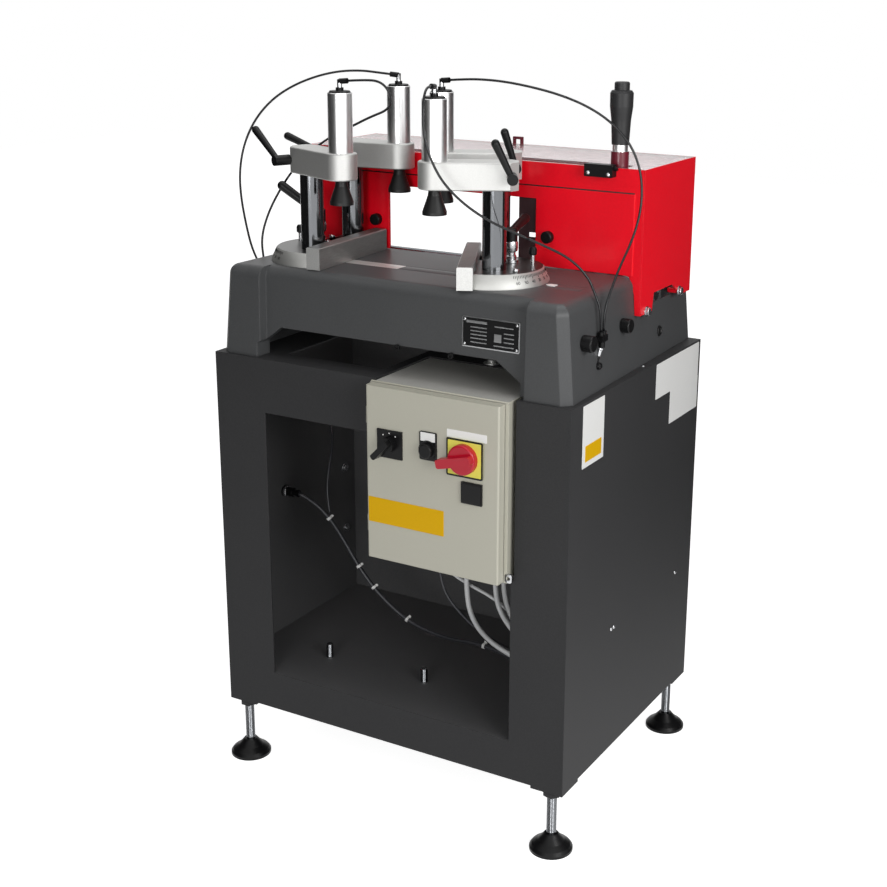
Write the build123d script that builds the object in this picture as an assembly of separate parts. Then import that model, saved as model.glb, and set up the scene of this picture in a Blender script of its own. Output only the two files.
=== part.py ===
from build123d import *
import math
import os

# End-milling machine for profile ends. Millimetres, +X right, +Y back, +Z up, floor at z = 0.

# Cabinet
CAB_W = 700.0
CAB_D = 532.0
CAB_H = 670.0
CAB_Z = 120.0
SHEET = 3.0
OPEN_L = -245.0
OPEN_R = 247.0
OPEN_BOTTOM = 73.0
OPEN_TOP = 573.0
PARTITION_Y = 150.0
CORNER_PLATE = 60.0
CORNER_T = 5.0
FOOT_INSET_X = 28.0
FOOT_INSET_Y = 19.0
PAD_R = 37.5
PAD_H = 24.0
ROD_R = 8.0
NUT_R = 13.5

# Table casting
CAST_H = 157.0
CAST_FRONT = -260.0
CAST_RECESS = 18.0
CAST_REAR = 262.0
CAST_HALF_F = CAB_W / 2 - 8.0
CAST_HALF_R = CAST_HALF_F - 15.0
CAST_DRAFT = 5.0
PILLAR_L = -CAST_HALF_F + 87.0
PILLAR_R = CAST_HALF_F - 80.0
PILLAR_CHAMFER = 15.0
TABLE_BACK = 16.0
TOP_ROUND = 20.0
ARCH_H = 53.0
TROUGH_WALL = 97.0
BAR_W = 30.0
BAR_T = 10.0
BAR_HALF = CAST_HALF_F - 46.0

# Stations
PIVOT_Y = -124.0
PIVOT_R = 128.0
PIVOT_L = -209.0
TURN_R = 26.3
TURN_L = 3.4
DISC_R = 95.0
DISC_T = 23.0
FENCE_U = -26.0
FENCE_W = 26.0
FENCE_H = 38.0
FENCE_V0 = -103.0
FENCE_V1 = 124.0
COL_R = 20.0
COL_U = 4.5
COL_V0 = -33.5
COL_V1 = 100.5
COL_H = 175.0
ARM_T = 45.0
ARM_REACH = 97.0
ARM_W = 54.0
ARM_TAIL = 38.0
ARM_ROOF = 6.0
ARM_CHAMFER = 14.0
CLAMP_PIN_R = 5.0
GRIP_L = {"l": 76.0, "r": 63.0}
ARM_DIR = {"lf": -23.0, "lr": 4.0, "rf": -150.0, "rr": -150.0}
CYL_R = 20.5
CYL_H = 101.0
ELBOW_UP = 15.0
ELBOW_L = 15.0
ELBOW_TILT = 5.0
PISTON_R = 6.0
RUN_FIT = 0.05
CONE_TOP_R = 10.0
CONE_R = 20.0
CONE_H = 39.0
FOOT_DROP = 41.5

# Guard and carriage
GUARD_Y = 12.0
GUARD_T = 2.0
GUARD_CLEAR = 10.8
GUARD_REAR = 231.0
GUARD_H = 179.0
END_CUT = (50.0, 56.0, 136.0, 176.0)
END_RISE = 31.0
COVER_T = 1.5
COVER_IN = 15.0
WIN_L = -164.0
WIN_R = 137.0
SHUTTER_W = 160.0
SHUTTER_SLOT = 108.0
KNOB_OUT = 25.0
KNOB_UP = 53.0
KNOB_L = 11.5
RAIL_R = 12.5
RAIL_Y = (120.0, 200.0)
BOSS_T = 17.0
CARRIAGE_L = 168.0
SPINDLE_R = 12.0
SPINDLE_LOW = 30.0
SPINDLE_HIGH = 142.0
LEVER_R = 15.0

# Control box
BOX_X0 = -5.0
BOX_W = 250.0
BOX_H = 300.0
BOX_FRONT = -306.0
DOOR_T = 18.0
BOX_BACK = -105.0
BOX_T = 2.0
BARREL_R = 5.0
HINGE_PIN_R = 2.5
BARREL_H = 12.0
LEAF_H = 28.0

CAB_TOP = CAB_Z + CAB_H
TABLE = CAB_TOP + CAST_H
DISC_TOP = TABLE + DISC_T
CLAMP_PIN_X = -ARM_TAIL + 11.0
ARM_TOP = DISC_TOP + COL_H
ARM_BOT = ARM_TOP - ARM_T
CYL_TOP = ARM_TOP + CYL_H
GUARD_TOP = TABLE + GUARD_H
GUARD_LEG = CAB_TOP + 91.0
WIN_TOP = TABLE + 117.0
COVER_TOP = WIN_TOP + 21.0
RAIL_Z = CAB_TOP + 110.0
BOSS_X = CAST_HALF_R - 7.0
CARRIAGE_X1 = BOSS_X - 22.0
CARRIAGE_X0 = CARRIAGE_X1 - CARRIAGE_L
TRAVEL = CARRIAGE_X0 + CARRIAGE_X1
SPINDLE = (CARRIAGE_X1 - 93.0, 72.0)
LEVER = (CARRIAGE_X1 - 19.5, 38.0)
BOX_Z1 = CAB_TOP - 1.0
BOX_Z0 = BOX_Z1 - BOX_H
HINGE_X = BOX_X0 - 6.0
HINGE_Y = BOX_FRONT + DOOR_T
HINGE_Z = (BOX_Z0 + 40.0, BOX_Z1 - 70.0)


def block(x0, x1, y0, y1, z0, z1):
    """A box between two corners."""
    place = Pos((x0 + x1) / 2, (y0 + y1) / 2, (z0 + z1) / 2)
    return place * Box(x1 - x0, y1 - y0, z1 - z0)


def post(x, y, z0, z1, r):
    """A round bar along Z."""
    return Pos(x, y, (z0 + z1) / 2) * Cylinder(r, z1 - z0)


def bar_x(x0, x1, y, z, r):
    """A round bar along X."""
    return Pos((x0 + x1) / 2, y, z) * Rot(0, 90, 0) * Cylinder(r, x1 - x0)


def bar_y(x, y0, y1, z, r):
    """A round bar along Y."""
    return Pos(x, (y0 + y1) / 2, z) * Rot(90, 0, 0) * Cylinder(r, y1 - y0)


def rod(a, b, r0, r1):
    """A round bar from a to b, r0 at a and r1 at b."""
    a = Vector(*a)
    b = Vector(*b)
    plane = Plane(origin=a, z_dir=b - a)
    length = (b - a).length
    if abs(r0 - r1) < 1e-6:
        solid = Cylinder(r0, length)
    else:
        solid = Cone(r0, r1, length)
    return plane * Pos(0, 0, length / 2) * solid


def turned(points):
    """A turned solid about Z from (radius, height) points."""
    return revolve(Plane.XZ * make_face(Polyline(*points, close=True)), Axis.Z)


def prism_y(points, y0, y1):
    """A prism along Y from (x, z) points."""
    face = make_face(Polyline(*[(x, y0, z) for x, z in points], close=True))
    return extrude(face, amount=y1 - y0, dir=(0, 1, 0))


def prism_x(points, x0, x1):
    """A prism along X from (y, z) points."""
    face = make_face(Polyline(*[(x0, y, z) for y, z in points], close=True))
    return extrude(face, amount=x1 - x0, dir=(1, 0, 0))


def hose(name, points, dia):
    """A round tube along straight runs joined by tangent arcs; prints its radii."""
    pts = [Vector(*p) for p in points]
    radii = []
    for a, b, c in zip(pts, pts[1:], pts[2:]):
        turn = math.radians((b - a).get_angle(c - b))
        shorter = min((b - a).length, (c - b).length)
        radii.append(round(0.45 * shorter / math.tan(turn / 2), 1))
    path = FilletPolyline(*pts, radius=radii)
    start = Plane(origin=pts[0], z_dir=pts[1] - pts[0])
    solid = sweep(start * Circle(dia / 2), path=path.wire())
    area = math.pi * dia * dia / 4
    ratio = round(solid.volume / (area * path.length), 3)
    print(name, "length", round(path.length), "radii", radii, "volume ratio", ratio)
    return solid


ORIGIN_Y = -(BOX_FRONT - 28 + CAB_D / 2 - FOOT_INSET_Y + PAD_R) / 2


def export(shape, name):
    """Writes one node, moved so that the origin is under the middle of the machine's box."""
    if isinstance(shape, list):
        shape = Compound(children=[Pos(0, ORIGIN_Y, 0) * piece for piece in shape])
    else:
        shape = Pos(0, ORIGIN_Y, 0) * shape
    export_step(shape, os.path.join("parts", name + ".step"))


CHIP_HOLE = 290.0
DROP_HOLE = (-230.0, -30.0, -215.0, -40.0)
REAR_DOOR = (200.0, 90.0, 420.0)
STUDS = ((-194.0, -162.0), (13.0, -159.0))
STUD_H = 28.0


def cabinet():
    w = CAB_W / 2
    d = CAB_D / 2
    floor = CAB_Z + OPEN_BOTTOM
    body = block(-w, w, -d, d, CAB_Z, CAB_TOP)
    body -= block(-w + SHEET, w - SHEET, -d + SHEET, d - SHEET, CAB_Z + SHEET, CAB_TOP - SHEET)
    body -= block(OPEN_L, OPEN_R, -d - 1, -d + SHEET + 1, floor, CAB_Z + OPEN_TOP)
    side = BOX_X0 - 6
    body -= block(side, BOX_X0 + BOX_W + 8, -d - 1, BOX_BACK + 5, BOX_Z0 - 3, CAB_TOP + 1)
    body += block(-w + SHEET, w - SHEET, -d + SHEET, PARTITION_Y, floor - SHEET, floor)
    body += block(-w + SHEET, w - SHEET, PARTITION_Y, PARTITION_Y + SHEET, CAB_Z + SHEET, CAB_TOP - SHEET)
    top0 = CAB_TOP - SHEET - 1
    top1 = CAB_TOP + 1
    body -= block(-CHIP_HOLE, CHIP_HOLE, TABLE_BACK + 6, PARTITION_Y - 5, top0, top1)
    body -= block(-CHIP_HOLE, CHIP_HOLE, PARTITION_Y + SHEET + 5, 240, top0, top1)
    x0, x1, y0, y1 = DROP_HOLE
    body -= block(x0, x1, y0, y1, top0, top1)
    half, low, high = REAR_DOOR
    body -= block(-half, half, d - SHEET - 1, d + 1, CAB_Z + low, CAB_Z + high)
    for sx in (-1, 1):
        for sy in (-1, 1):
            cx = sx * (w - CORNER_PLATE / 2)
            cy = sy * (d - CORNER_PLATE / 2)
            body += Pos(cx, cy, CAB_Z - CORNER_T / 2) * Box(CORNER_PLATE, CORNER_PLATE, CORNER_T)
    for x, y in STUDS:
        body += post(x, y, floor, floor + STUD_H, 6)
    return body


def levelling_feet():
    feet = []
    z = CAB_Z - CORNER_T
    for sx in (-1, 1):
        for sy in (-1, 1):
            pad = turned([(0, 0), (PAD_R, 0), (PAD_R, 5), (PAD_R - 4, 10), (PAD_R - 14, 17), (17, PAD_H),
                          (12, PAD_H + 6), (ROD_R, PAD_H + 6), (ROD_R, z - 12), (NUT_R, z - 12), (NUT_R, z),
                          (0, z)])
            feet.append(Pos(sx * (CAB_W / 2 - FOOT_INSET_X), sy * (CAB_D / 2 - FOOT_INSET_Y), 0) * pad)
    return feet


def casting_outline(inset):
    """Plan of the casting, drawn in by inset at the sides."""
    f = CAST_HALF_F - inset
    r = CAST_HALF_R - inset
    y0 = CAST_FRONT + inset * 0.3
    y1 = CAST_REAR - inset * 0.3
    c = PILLAR_CHAMFER
    return [(-f + c, y0), (f - c, y0), (f, y0 + c), (r, y1), (-r, y1), (-f, y0 + c)]


def half_width(y, z):
    """The casting's half width at a height and depth."""
    t = (y - CAST_FRONT) / (CAST_REAR - CAST_FRONT)
    base = CAST_HALF_F + (CAST_HALF_R - CAST_HALF_F) * t
    return base - (z - CAB_TOP) * math.tan(math.radians(CAST_DRAFT))


SIDE_KNOBS = ((-196.0, CAB_TOP + 89.0, 13.4, 20.0), (-41.0, CAB_TOP + 86.0, 12.0, 18.0))
KNOB_PIN_R = 5.0
GUARD_HALF = half_width(GUARD_Y, GUARD_LEG) + GUARD_CLEAR
SIDE_SLOT = (121.0, CAB_TOP + 42.0, 6.0, 3.5)


def front_recess():
    """The space between the front pillars, up to the rounded front edge of the table."""
    y = CAST_FRONT + CAST_RECESS
    r = TOP_ROUND
    x = PILLAR_L
    low = CAB_TOP - 1
    high = TABLE + 9
    y4 = y + 4
    sag = r * (1 - math.sqrt(0.5))
    up = Line((x, y, low), (x, y4, TABLE - r))
    bend = ThreePointArc((x, y4, TABLE - r), (x, y4 + sag, TABLE - sag), (x, y4 + r, TABLE))
    rest = Polyline((x, y4 + r, TABLE), (x, y4 + r, high), (x, y - 60, high), (x, y - 60, low), (x, y, low))
    return extrude(make_face(up + bend + rest), amount=PILLAR_R - PILLAR_L, dir=(1, 0, 0))


def table_casting():
    draft = CAST_H * math.tan(math.radians(CAST_DRAFT))
    low = make_face(Polyline(*[(x, y, CAB_TOP) for x, y in casting_outline(0)], close=True))
    high = make_face(Polyline(*[(x, y, TABLE) for x, y in casting_outline(draft)], close=True))
    body = loft([low, high], ruled=True)
    rims = [e for e in body.edges() if e.center().Z > TABLE - 0.5 and e.center().Y < CAST_REAR - 40]
    body = fillet(rims, TOP_ROUND)
    body -= front_recess()
    body -= block(-400, 400, TABLE_BACK, CAST_REAR + 10, CAB_TOP + TROUGH_WALL, TABLE + 5)
    x = BOSS_X - BOSS_T + 1
    body -= block(-x, x, TABLE_BACK, CAST_REAR - 17, CAB_TOP - 1, TABLE + 5)
    x = CAST_HALF_F - 34
    body -= block(-x, x, CAST_FRONT + 36, 0, CAB_TOP - 1, TABLE - 20)
    low = CAB_TOP - 1
    high = CAB_TOP + ARCH_H
    arch = [(-262, low), (-262, high - 29), (-224, high), (201, high), (246, high - 31), (246, low)]
    body -= prism_y(arch, CAST_FRONT - 10, CAST_FRONT + 60)
    for y in RAIL_Y:
        for sx in (-1, 1):
            x0 = min(sx * BOSS_X, sx * (BOSS_X - BOSS_T))
            body += block(x0, x0 + BOSS_T, y - 20, y + 20, CAB_TOP + 60, RAIL_Z + 19)
    for y in RAIL_Y:
        body -= bar_x(-CAST_HALF_F, CAST_HALF_F, y, RAIL_Z, RAIL_R)
    body -= block(-BAR_HALF, BAR_HALF, PIVOT_Y - BAR_W / 2, PIVOT_Y + BAR_W / 2, TABLE - BAR_T, TABLE + 1)
    y, z, r, reach = SIDE_SLOT
    x = half_width(y, z)
    body -= bar_x(x - 12, x + 20, y, z - reach, r)
    body -= bar_x(x - 12, x + 20, y, z + reach, r)
    body -= block(x - 12, x + 20, y - r, y + r, z - reach, z + reach)
    for y, z, r, length in SIDE_KNOBS:
        body -= bar_x(half_width(y, z) - 6, half_width(y, z) + 6, y, z, KNOB_PIN_R + RUN_FIT)
    return body


def guide_bar():
    bar = block(-BAR_HALF, BAR_HALF, PIVOT_Y - BAR_W / 2, PIVOT_Y + BAR_W / 2, TABLE - BAR_T, TABLE)
    for x in (PIVOT_L, PIVOT_R):
        bar -= post(x, PIVOT_Y, TABLE - 7, TABLE + 1, 10 + RUN_FIT)
    return bar


def guard_front(cast):
    y0 = GUARD_Y
    y1 = GUARD_Y + GUARD_T
    half = GUARD_HALF - GUARD_T
    z0 = TABLE + 1
    sheet = block(-half, half, y0, y1, z0, GUARD_TOP)
    sheet -= block(WIN_L, WIN_R, y0 - 1, y1 + 1, z0 - 1, WIN_TOP)
    for sx in (-1, 1):
        inner = half_width(y0, GUARD_LEG) + 0.7
        pts = [(sx * half, z0), (sx * half, GUARD_LEG), (sx * inner, GUARD_LEG),
               (sx * (half_width(y0, z0 - 30) + 1.0), z0 - 30), (sx * (half_width(y0, z0) - 6), z0 - 2),
               (sx * (half_width(y0, z0) - 16), z0)]
        sheet += prism_y(pts, y0, y1)
    sheet -= cast
    sheet += block(-half, half, y1, y1 + 7, GUARD_TOP - 6, GUARD_TOP - 4)
    for x0, x1 in ((-half + 4, WIN_L + 108), (WIN_R - 108, half - 4)):
        guide = block(x0, x1, y1, y1 + 2.6, WIN_TOP + 12, WIN_TOP + 18)
        guide += block(x0, x1, y1 + 2.6, y1 + 4.6, WIN_TOP + 4, WIN_TOP + 18)
        sheet += guide
    cover = block(-half + COVER_IN, half - COVER_IN, y0 - COVER_T, y0, z0, COVER_TOP)
    sheet += cover - block(WIN_L, WIN_R, y0 - COVER_T - 1, y1, z0 - 1, WIN_TOP)
    for x in (WIN_L - KNOB_OUT, WIN_R + KNOB_OUT):
        sheet -= bar_y(x, y0 - COVER_T - 1, y1 + 1, TABLE + KNOB_UP, 3 + RUN_FIT)
    return sheet


def guard_ends(cast):
    y0 = GUARD_Y
    y1 = GUARD_REAR
    low = GUARD_LEG
    foot, front, back, heel = (y0 + y for y in END_CUT)
    pts = [(y0, low), (foot, low), (front, low + END_RISE), (back, low + END_RISE), (heel, low + 6),
           (y1, low + 6), (y1, GUARD_TOP), (y0, GUARD_TOP)]
    ends = []
    for sx in (-1, 1):
        x0 = min(sx * GUARD_HALF, sx * (GUARD_HALF - GUARD_T))
        panel = prism_x(pts, x0, x0 + GUARD_T)
        for y, z in ((y0 + 26, low + 4), (y0 + 168, low + 14)):
            gap = half_width(y, z) - 3
            a = min(sx * gap, sx * (GUARD_HALF - GUARD_T))
            panel += bar_x(a, a + GUARD_HALF - GUARD_T - gap, y, z, 5)
        ends.append(panel - cast)
    return ends


def guard_rear_rail():
    half = GUARD_HALF - GUARD_T
    rail = block(-half, half, GUARD_REAR - GUARD_T, GUARD_REAR, GUARD_TOP - 40, GUARD_TOP)
    rail += block(-half, half, GUARD_REAR - 16, GUARD_REAR - GUARD_T, GUARD_TOP - 6, GUARD_TOP - 4)
    return rail


def guard_top():
    half = GUARD_HALF - GUARD_T
    top = block(-half, half, GUARD_Y + GUARD_T, GUARD_REAR - GUARD_T, GUARD_TOP - 4, GUARD_TOP)
    x0 = LEVER[0] - TRAVEL - LEVER_R - 4
    x1 = LEVER[0] + LEVER_R + 4
    top -= block(x0, x1, LEVER[1] - LEVER_R - 3, LEVER[1] + LEVER_R + 3, GUARD_TOP - 5, GUARD_TOP + 1)
    return top


def limit_switch():
    x0 = LEVER[0] - 45.5
    x1 = LEVER[0] + 6.5
    body = block(x0, x1, GUARD_Y - 16, GUARD_Y, GUARD_TOP - 15, GUARD_TOP + 6)
    body = fillet(body.edges().filter_by(Axis.Y), 2)
    return body + bar_x(x1 - 4, x1 + 5, GUARD_Y - 7, GUARD_TOP - 1, 3)


def rails():
    return [bar_x(-BOSS_X, BOSS_X, y, RAIL_Z, RAIL_R) for y in RAIL_Y]


def shutter(x0, slot0):
    y0 = GUARD_Y + GUARD_T + 0.3
    plate = block(x0, x0 + SHUTTER_W, y0, y0 + 2, TABLE + 4, WIN_TOP + 11.5)
    z = TABLE + KNOB_UP
    plate -= block(slot0, slot0 + SHUTTER_SLOT, y0 - 1, y0 + 3, z - 4, z + 4)
    return plate


def shutter_knob(x):
    z = TABLE + KNOB_UP
    y = GUARD_Y - COVER_T
    knob = bar_y(x, y - KNOB_L, y - 0.4, z, 10.5)
    knob = fillet(knob.edges().group_by(Axis.Y)[0], 2.5)
    knob += bar_y(x, y - 4, GUARD_Y + 8, z, 3)
    return knob


def carriage():
    x0 = CARRIAGE_X0
    x1 = CARRIAGE_X1
    plate = block(x0, x1, RAIL_Y[0] - 94, RAIL_Y[1] + 22, RAIL_Z + 16, RAIL_Z + 30)
    for y in RAIL_Y:
        for a in (x0 + 2, x1 - 62):
            plate += block(a, a + 60, y - 20, y + 20, RAIL_Z - 18, RAIL_Z + 16)
        plate -= bar_x(x0 - 5, x1 + 5, y, RAIL_Z, RAIL_R + RUN_FIT)
    plate += post(SPINDLE[0], SPINDLE[1], RAIL_Z - 20, RAIL_Z + 40, 33)
    plate -= post(SPINDLE[0], SPINDLE[1], RAIL_Z - 30, RAIL_Z + 50, SPINDLE_R + RUN_FIT)
    return plate


def motor():
    z1 = RAIL_Z - 20
    body = post(SPINDLE[0], SPINDLE[1], z1 - 130, z1 - 12, 45)
    body += post(SPINDLE[0], SPINDLE[1], z1 - 12, z1, 42)
    for i in range(12):
        fin = Pos(46, 0, z1 - 76) * Box(6, 4, 92)
        body += Pos(SPINDLE[0], SPINDLE[1], 0) * Rot(0, 0, 30 * i) * fin
    body -= post(SPINDLE[0], SPINDLE[1], z1 - 12, z1 + 1, 14)
    return body


def cutter_spindle():
    x, y = SPINDLE
    shaft = post(x, y, RAIL_Z - SPINDLE_LOW, RAIL_Z + SPINDLE_HIGH, SPINDLE_R)
    head = post(x, y, RAIL_Z + 56, RAIL_Z + 128, 50)
    for i in range(6):
        gullet = Pos(48, 9, RAIL_Z + 92) * Box(22, 18, 90)
        head -= Pos(x, y, 0) * Rot(0, 0, 60 * i) * gullet
    collar = post(x, y, RAIL_Z + 41, RAIL_Z + 56, 20)
    nut = post(x, y, RAIL_Z + 128, RAIL_Z + 136, 18)
    return shaft + head + collar + nut


def lever_stem():
    x, y = LEVER
    stem = post(x, y, RAIL_Z + 30, GUARD_TOP + 25, LEVER_R)
    return stem + post(x, y, GUARD_TOP + 25, GUARD_TOP + 36, LEVER_R - 2)


def lever_grip():
    grip = turned([(0, 0), (14.5, 0), (15, 10), (16.5, 40), (19.3, 62), (19.5, 84), (17, 88), (12.7, 89),
                   (12.7, 100), (11, 102), (0, 102)])
    return Pos(LEVER[0], LEVER[1], GUARD_TOP + 36) * grip


def box_body():
    x1 = BOX_X0 + BOX_W
    y0 = BOX_FRONT + DOOR_T + 2
    body = block(BOX_X0, x1, y0, BOX_BACK, BOX_Z0, BOX_Z1)
    body -= block(BOX_X0 + BOX_T, x1 - BOX_T, y0 - 1, BOX_BACK - BOX_T, BOX_Z0 + BOX_T, BOX_Z1 - BOX_T)
    rim = block(BOX_X0 - 4, x1 + 6, y0, y0 + 3, BOX_Z0 - 2, BOX_Z1)
    rim -= block(BOX_X0 + 8, x1 - 8, y0 - 1, y0 + 4, BOX_Z0 + 8, BOX_Z1 - 8)
    for z in HINGE_Z:
        rim -= post(HINGE_X, HINGE_Y, z + BARREL_H, z + LEAF_H + 1, BARREL_R + 1)
    body += rim
    body += block(BOX_X0 + 20, x1 - 20, BOX_BACK - 14, BOX_BACK - 11, BOX_Z0 + 20, BOX_Z1 - 20)
    for x in (BOX_X0 + 40, x1 - 40):
        for z in (BOX_Z0 + 40, BOX_Z1 - 40):
            body += bar_y(x, BOX_BACK - 11, BOX_BACK - BOX_T, z, 5)
    for z in HINGE_Z:
        body += block(HINGE_X, BOX_X0 - 3, y0, y0 + 3, z, z + BARREL_H)
        body += post(HINGE_X, HINGE_Y, z, z + BARREL_H, BARREL_R)
        body += post(HINGE_X, HINGE_Y, z + BARREL_H - 1, z + LEAF_H, HINGE_PIN_R)
    return body


def box_door():
    x1 = BOX_X0 + BOX_W
    door = block(BOX_X0, x1, BOX_FRONT, BOX_FRONT + DOOR_T, BOX_Z0, BOX_Z1)
    door = fillet(door.edges().filter_by(Axis.Z).group_by(Axis.Y)[0], 3)
    y0 = BOX_FRONT + BOX_T
    door -= block(BOX_X0 + BOX_T, x1 - BOX_T, y0, HINGE_Y + 1, BOX_Z0 + BOX_T, BOX_Z1 - BOX_T)
    for z in HINGE_Z:
        low = z + BARREL_H + 0.3
        leaf = block(HINGE_X, BOX_X0 + 1, HINGE_Y - 4, HINGE_Y - 1.5, low, z + LEAF_H)
        leaf += post(HINGE_X, HINGE_Y, low, z + LEAF_H, BARREL_R)
        door += leaf - post(HINGE_X, HINGE_Y, low - 1, z + LEAF_H + 1, HINGE_PIN_R + RUN_FIT)
    door -= bar_y(BUTTON[0], BOX_FRONT - 1, BOX_FRONT + BOX_T + 1, BUTTON[1], 12.3)
    return door


SELECTOR = (BOX_X0 + 47, BOX_Z1 - 94)
BUTTON = (BOX_X0 + 121, BOX_Z1 - 91)
MAIN = (BOX_X0 + 189, BOX_Z1 - 94)
SQUARE = (BOX_X0 + 202, BOX_Z1 - 151)


def switch_bezels():
    f = BOX_FRONT
    sx, sz = SELECTOR
    bx, bz = BUTTON
    qx, qz = SQUARE
    plate = block(sx - 24, sx + 24, f - 3, f, sz - 24, sz + 24)
    plate -= bar_y(sx, f - 4, f + 1, sz, 4 + RUN_FIT)
    ring = bar_y(bx, f - 6, f, bz, 16)
    ring -= bar_y(bx, f - 7, f + 1, bz, 12.3)
    square = block(qx - 19, qx + 19, f - 4, f, qz - 18, qz + 18)
    return [plate, ring, square]


def main_switch_plate():
    x, z = MAIN
    plate = block(x - 31, x + 31, BOX_FRONT - 4, BOX_FRONT, z - 30, z + 30)
    plate = fillet(plate.edges().filter_by(Axis.Y), 3)
    return plate - bar_y(x, BOX_FRONT - 5, BOX_FRONT + 1, z, 5 + RUN_FIT)


def main_switch_handle():
    x, z = MAIN
    f = BOX_FRONT
    knob = bar_y(x, f - 16, f - 4.4, z, 25)
    knob = fillet(knob.edges().group_by(Axis.Y)[0], 3)
    grip = Pos(x - 8, f - 21, z - 2) * Rot(0, -14, 0) * Box(64, 14, 15)
    grip = fillet(grip.edges().filter_by(Axis.Y), 4)
    return knob + grip + bar_y(x, f - 5, f, z, 5)


def selector_knob():
    x, z = SELECTOR
    f = BOX_FRONT
    knob = bar_y(x, f - 14, f - 3.4, z, 13)
    grip = Pos(x - 7, f - 17, z - 7) * Rot(0, -45, 0) * Box(42, 14, 10)
    grip = fillet(grip.edges().filter_by(Axis.Y), 3)
    return knob + grip + bar_y(x, f - 4, f, z, 4)


def push_button():
    x, z = BUTTON
    f = BOX_FRONT
    cap = bar_y(x, f - 14, f - 0.5, z, 12)
    return fillet(cap.edges().group_by(Axis.Y)[0], 2)


class Station:
    """One swivelling clamp station; m is +1 on the right and -1 on the left."""

    def __init__(self, name, pivot_x, turn, m):
        self.name = name
        self.m = m
        self.turn = turn
        self.x = pivot_x
        a = math.radians(turn)
        self.u = (m * math.cos(a), m * math.sin(a))
        self.v = (-math.sin(a), math.cos(a))

    def at(self, u, v):
        return (self.x + u * self.u[0] + v * self.v[0], PIVOT_Y + u * self.u[1] + v * self.v[1])

    def place(self, shape):
        """Moves a piece drawn about the pivot, u along +X on both sides, to the station."""
        if self.m < 0:
            shape = mirror(shape, about=Plane.YZ)
        return Pos(self.x, PIVOT_Y, 0) * Rot(0, 0, self.turn) * shape


def turntable(s):
    disc = post(0, 0, TABLE, DISC_TOP, DISC_R)
    disc = chamfer(disc.edges().group_by(Axis.Z)[-1], 6, 6)
    disc += block(FENCE_U, COL_U + 28, 40, FENCE_V1, TABLE, DISC_TOP)
    disc -= block(-2 * DISC_R, FENCE_U, -2 * DISC_R, 2 * DISC_R, TABLE - 1, DISC_TOP + 1)
    disc += post(0, 0, TABLE - 6, TABLE + 1, 10)
    for u, v, r in (LOCK_AT, PLUNGER_AT):
        disc -= post(u, v, DISC_TOP - 14, DISC_TOP + 1, r + RUN_FIT)
    return s.place(disc)


LOCK_AT = (29.0, 27.0, 6.0)
LOCK_TIP = {"l": (66.0, -16.0, 45.0), "r": (21.0, 61.0, 12.0)}
PLUNGER_AT = (66.0, 21.0, 3.5)


def fence(s):
    bar = block(FENCE_U - FENCE_W, FENCE_U, FENCE_V0, FENCE_V1, TABLE + 0.5, TABLE + FENCE_H)
    bar = chamfer(bar.edges().filter_by(Axis.Y).group_by(Axis.Z)[-1], 1.5)
    return s.place(bar)


def columns(s):
    pair = []
    for v in (COL_V0, COL_V1):
        col = post(COL_U, v, DISC_TOP, ARM_TOP - ARM_ROOF - 0.3, COL_R)
        col = chamfer(col.edges().group_by(Axis.Z)[-1], 2)
        pair.append(s.place(col))
    return pair


def lock_lever(s):
    u, v, r = LOCK_AT
    du, dv, dz = LOCK_TIP[s.name]
    z = DISC_TOP
    lever = post(u, v, z - 14, z + 50, r)
    lever += post(u, v, z + 0.4, z + 5, 13)
    lever += post(u, v, z + 20, z + 58, 11)
    tip = (u + du, v + dv, z + 52 + dz)
    lever += rod((u, v, z + 50), tip, 7, 8.5)
    lever += Pos(*tip) * Sphere(8.5)
    return s.place(lever)


def index_plunger(s):
    u, v, r = PLUNGER_AT
    z = DISC_TOP
    pin = post(u, v, z - 14, z + 18, r)
    knob = Pos(u, v, z) * turned([(0, 14), (5, 14), (6.8, 16), (6.8, 24), (5, 28), (0, 28)])
    return s.place(pin + knob)


class Arm:
    """One clamp arm on a column; drawn with the column at the origin and the reach along +X."""

    def __init__(self, name, station, v, side, lean):
        self.name = name
        self.station = station
        self.side = side
        self.lean = lean
        self.col = station.at(COL_U, v)
        self.dir = ARM_DIR[name]
        a = math.radians(self.dir)
        self.out = math.cos(math.radians(ELBOW_TILT))
        self.rise = math.sin(math.radians(ELBOW_TILT))
        self.tip = (self.col[0] + ARM_REACH * math.cos(a), self.col[1] + ARM_REACH * math.sin(a))

    def place(self, shape):
        return Pos(self.col[0], self.col[1], 0) * Rot(0, 0, self.dir) * shape


def arm(a):
    w = ARM_W / 2
    roof = ARM_TOP - ARM_ROOF
    body = block(-ARM_TAIL, ARM_REACH, -w, w, ARM_BOT, ARM_TOP)
    body = chamfer(body.edges().filter_by(Axis.Z).group_by(Axis.X)[0], ARM_CHAMFER)
    body += post(ARM_REACH, 0, ARM_BOT, ARM_TOP, w)
    rims = body.edges().filter_by(GeomType.LINE).filter_by(Axis.X)
    body = fillet(rims, 3)
    body -= post(0, 0, ARM_BOT - 1, roof, COL_R + RUN_FIT)
    body -= post(ARM_REACH, 0, ARM_BOT - 1, ARM_TOP + 1, PISTON_R + RUN_FIT)
    body -= block(-ARM_TAIL - 1, -COL_R + 3, -1.5, 1.5, ARM_BOT - 1, roof)
    z = (ARM_BOT + ARM_TOP) / 2
    body -= bar_y(CLAMP_PIN_X, -w - 1, w + 1, z, CLAMP_PIN_R + RUN_FIT)
    return a.place(body)


ELBOW = {"lf": 5.0, "lr": 193.0, "rf": -76.0, "rr": 0.0}


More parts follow.
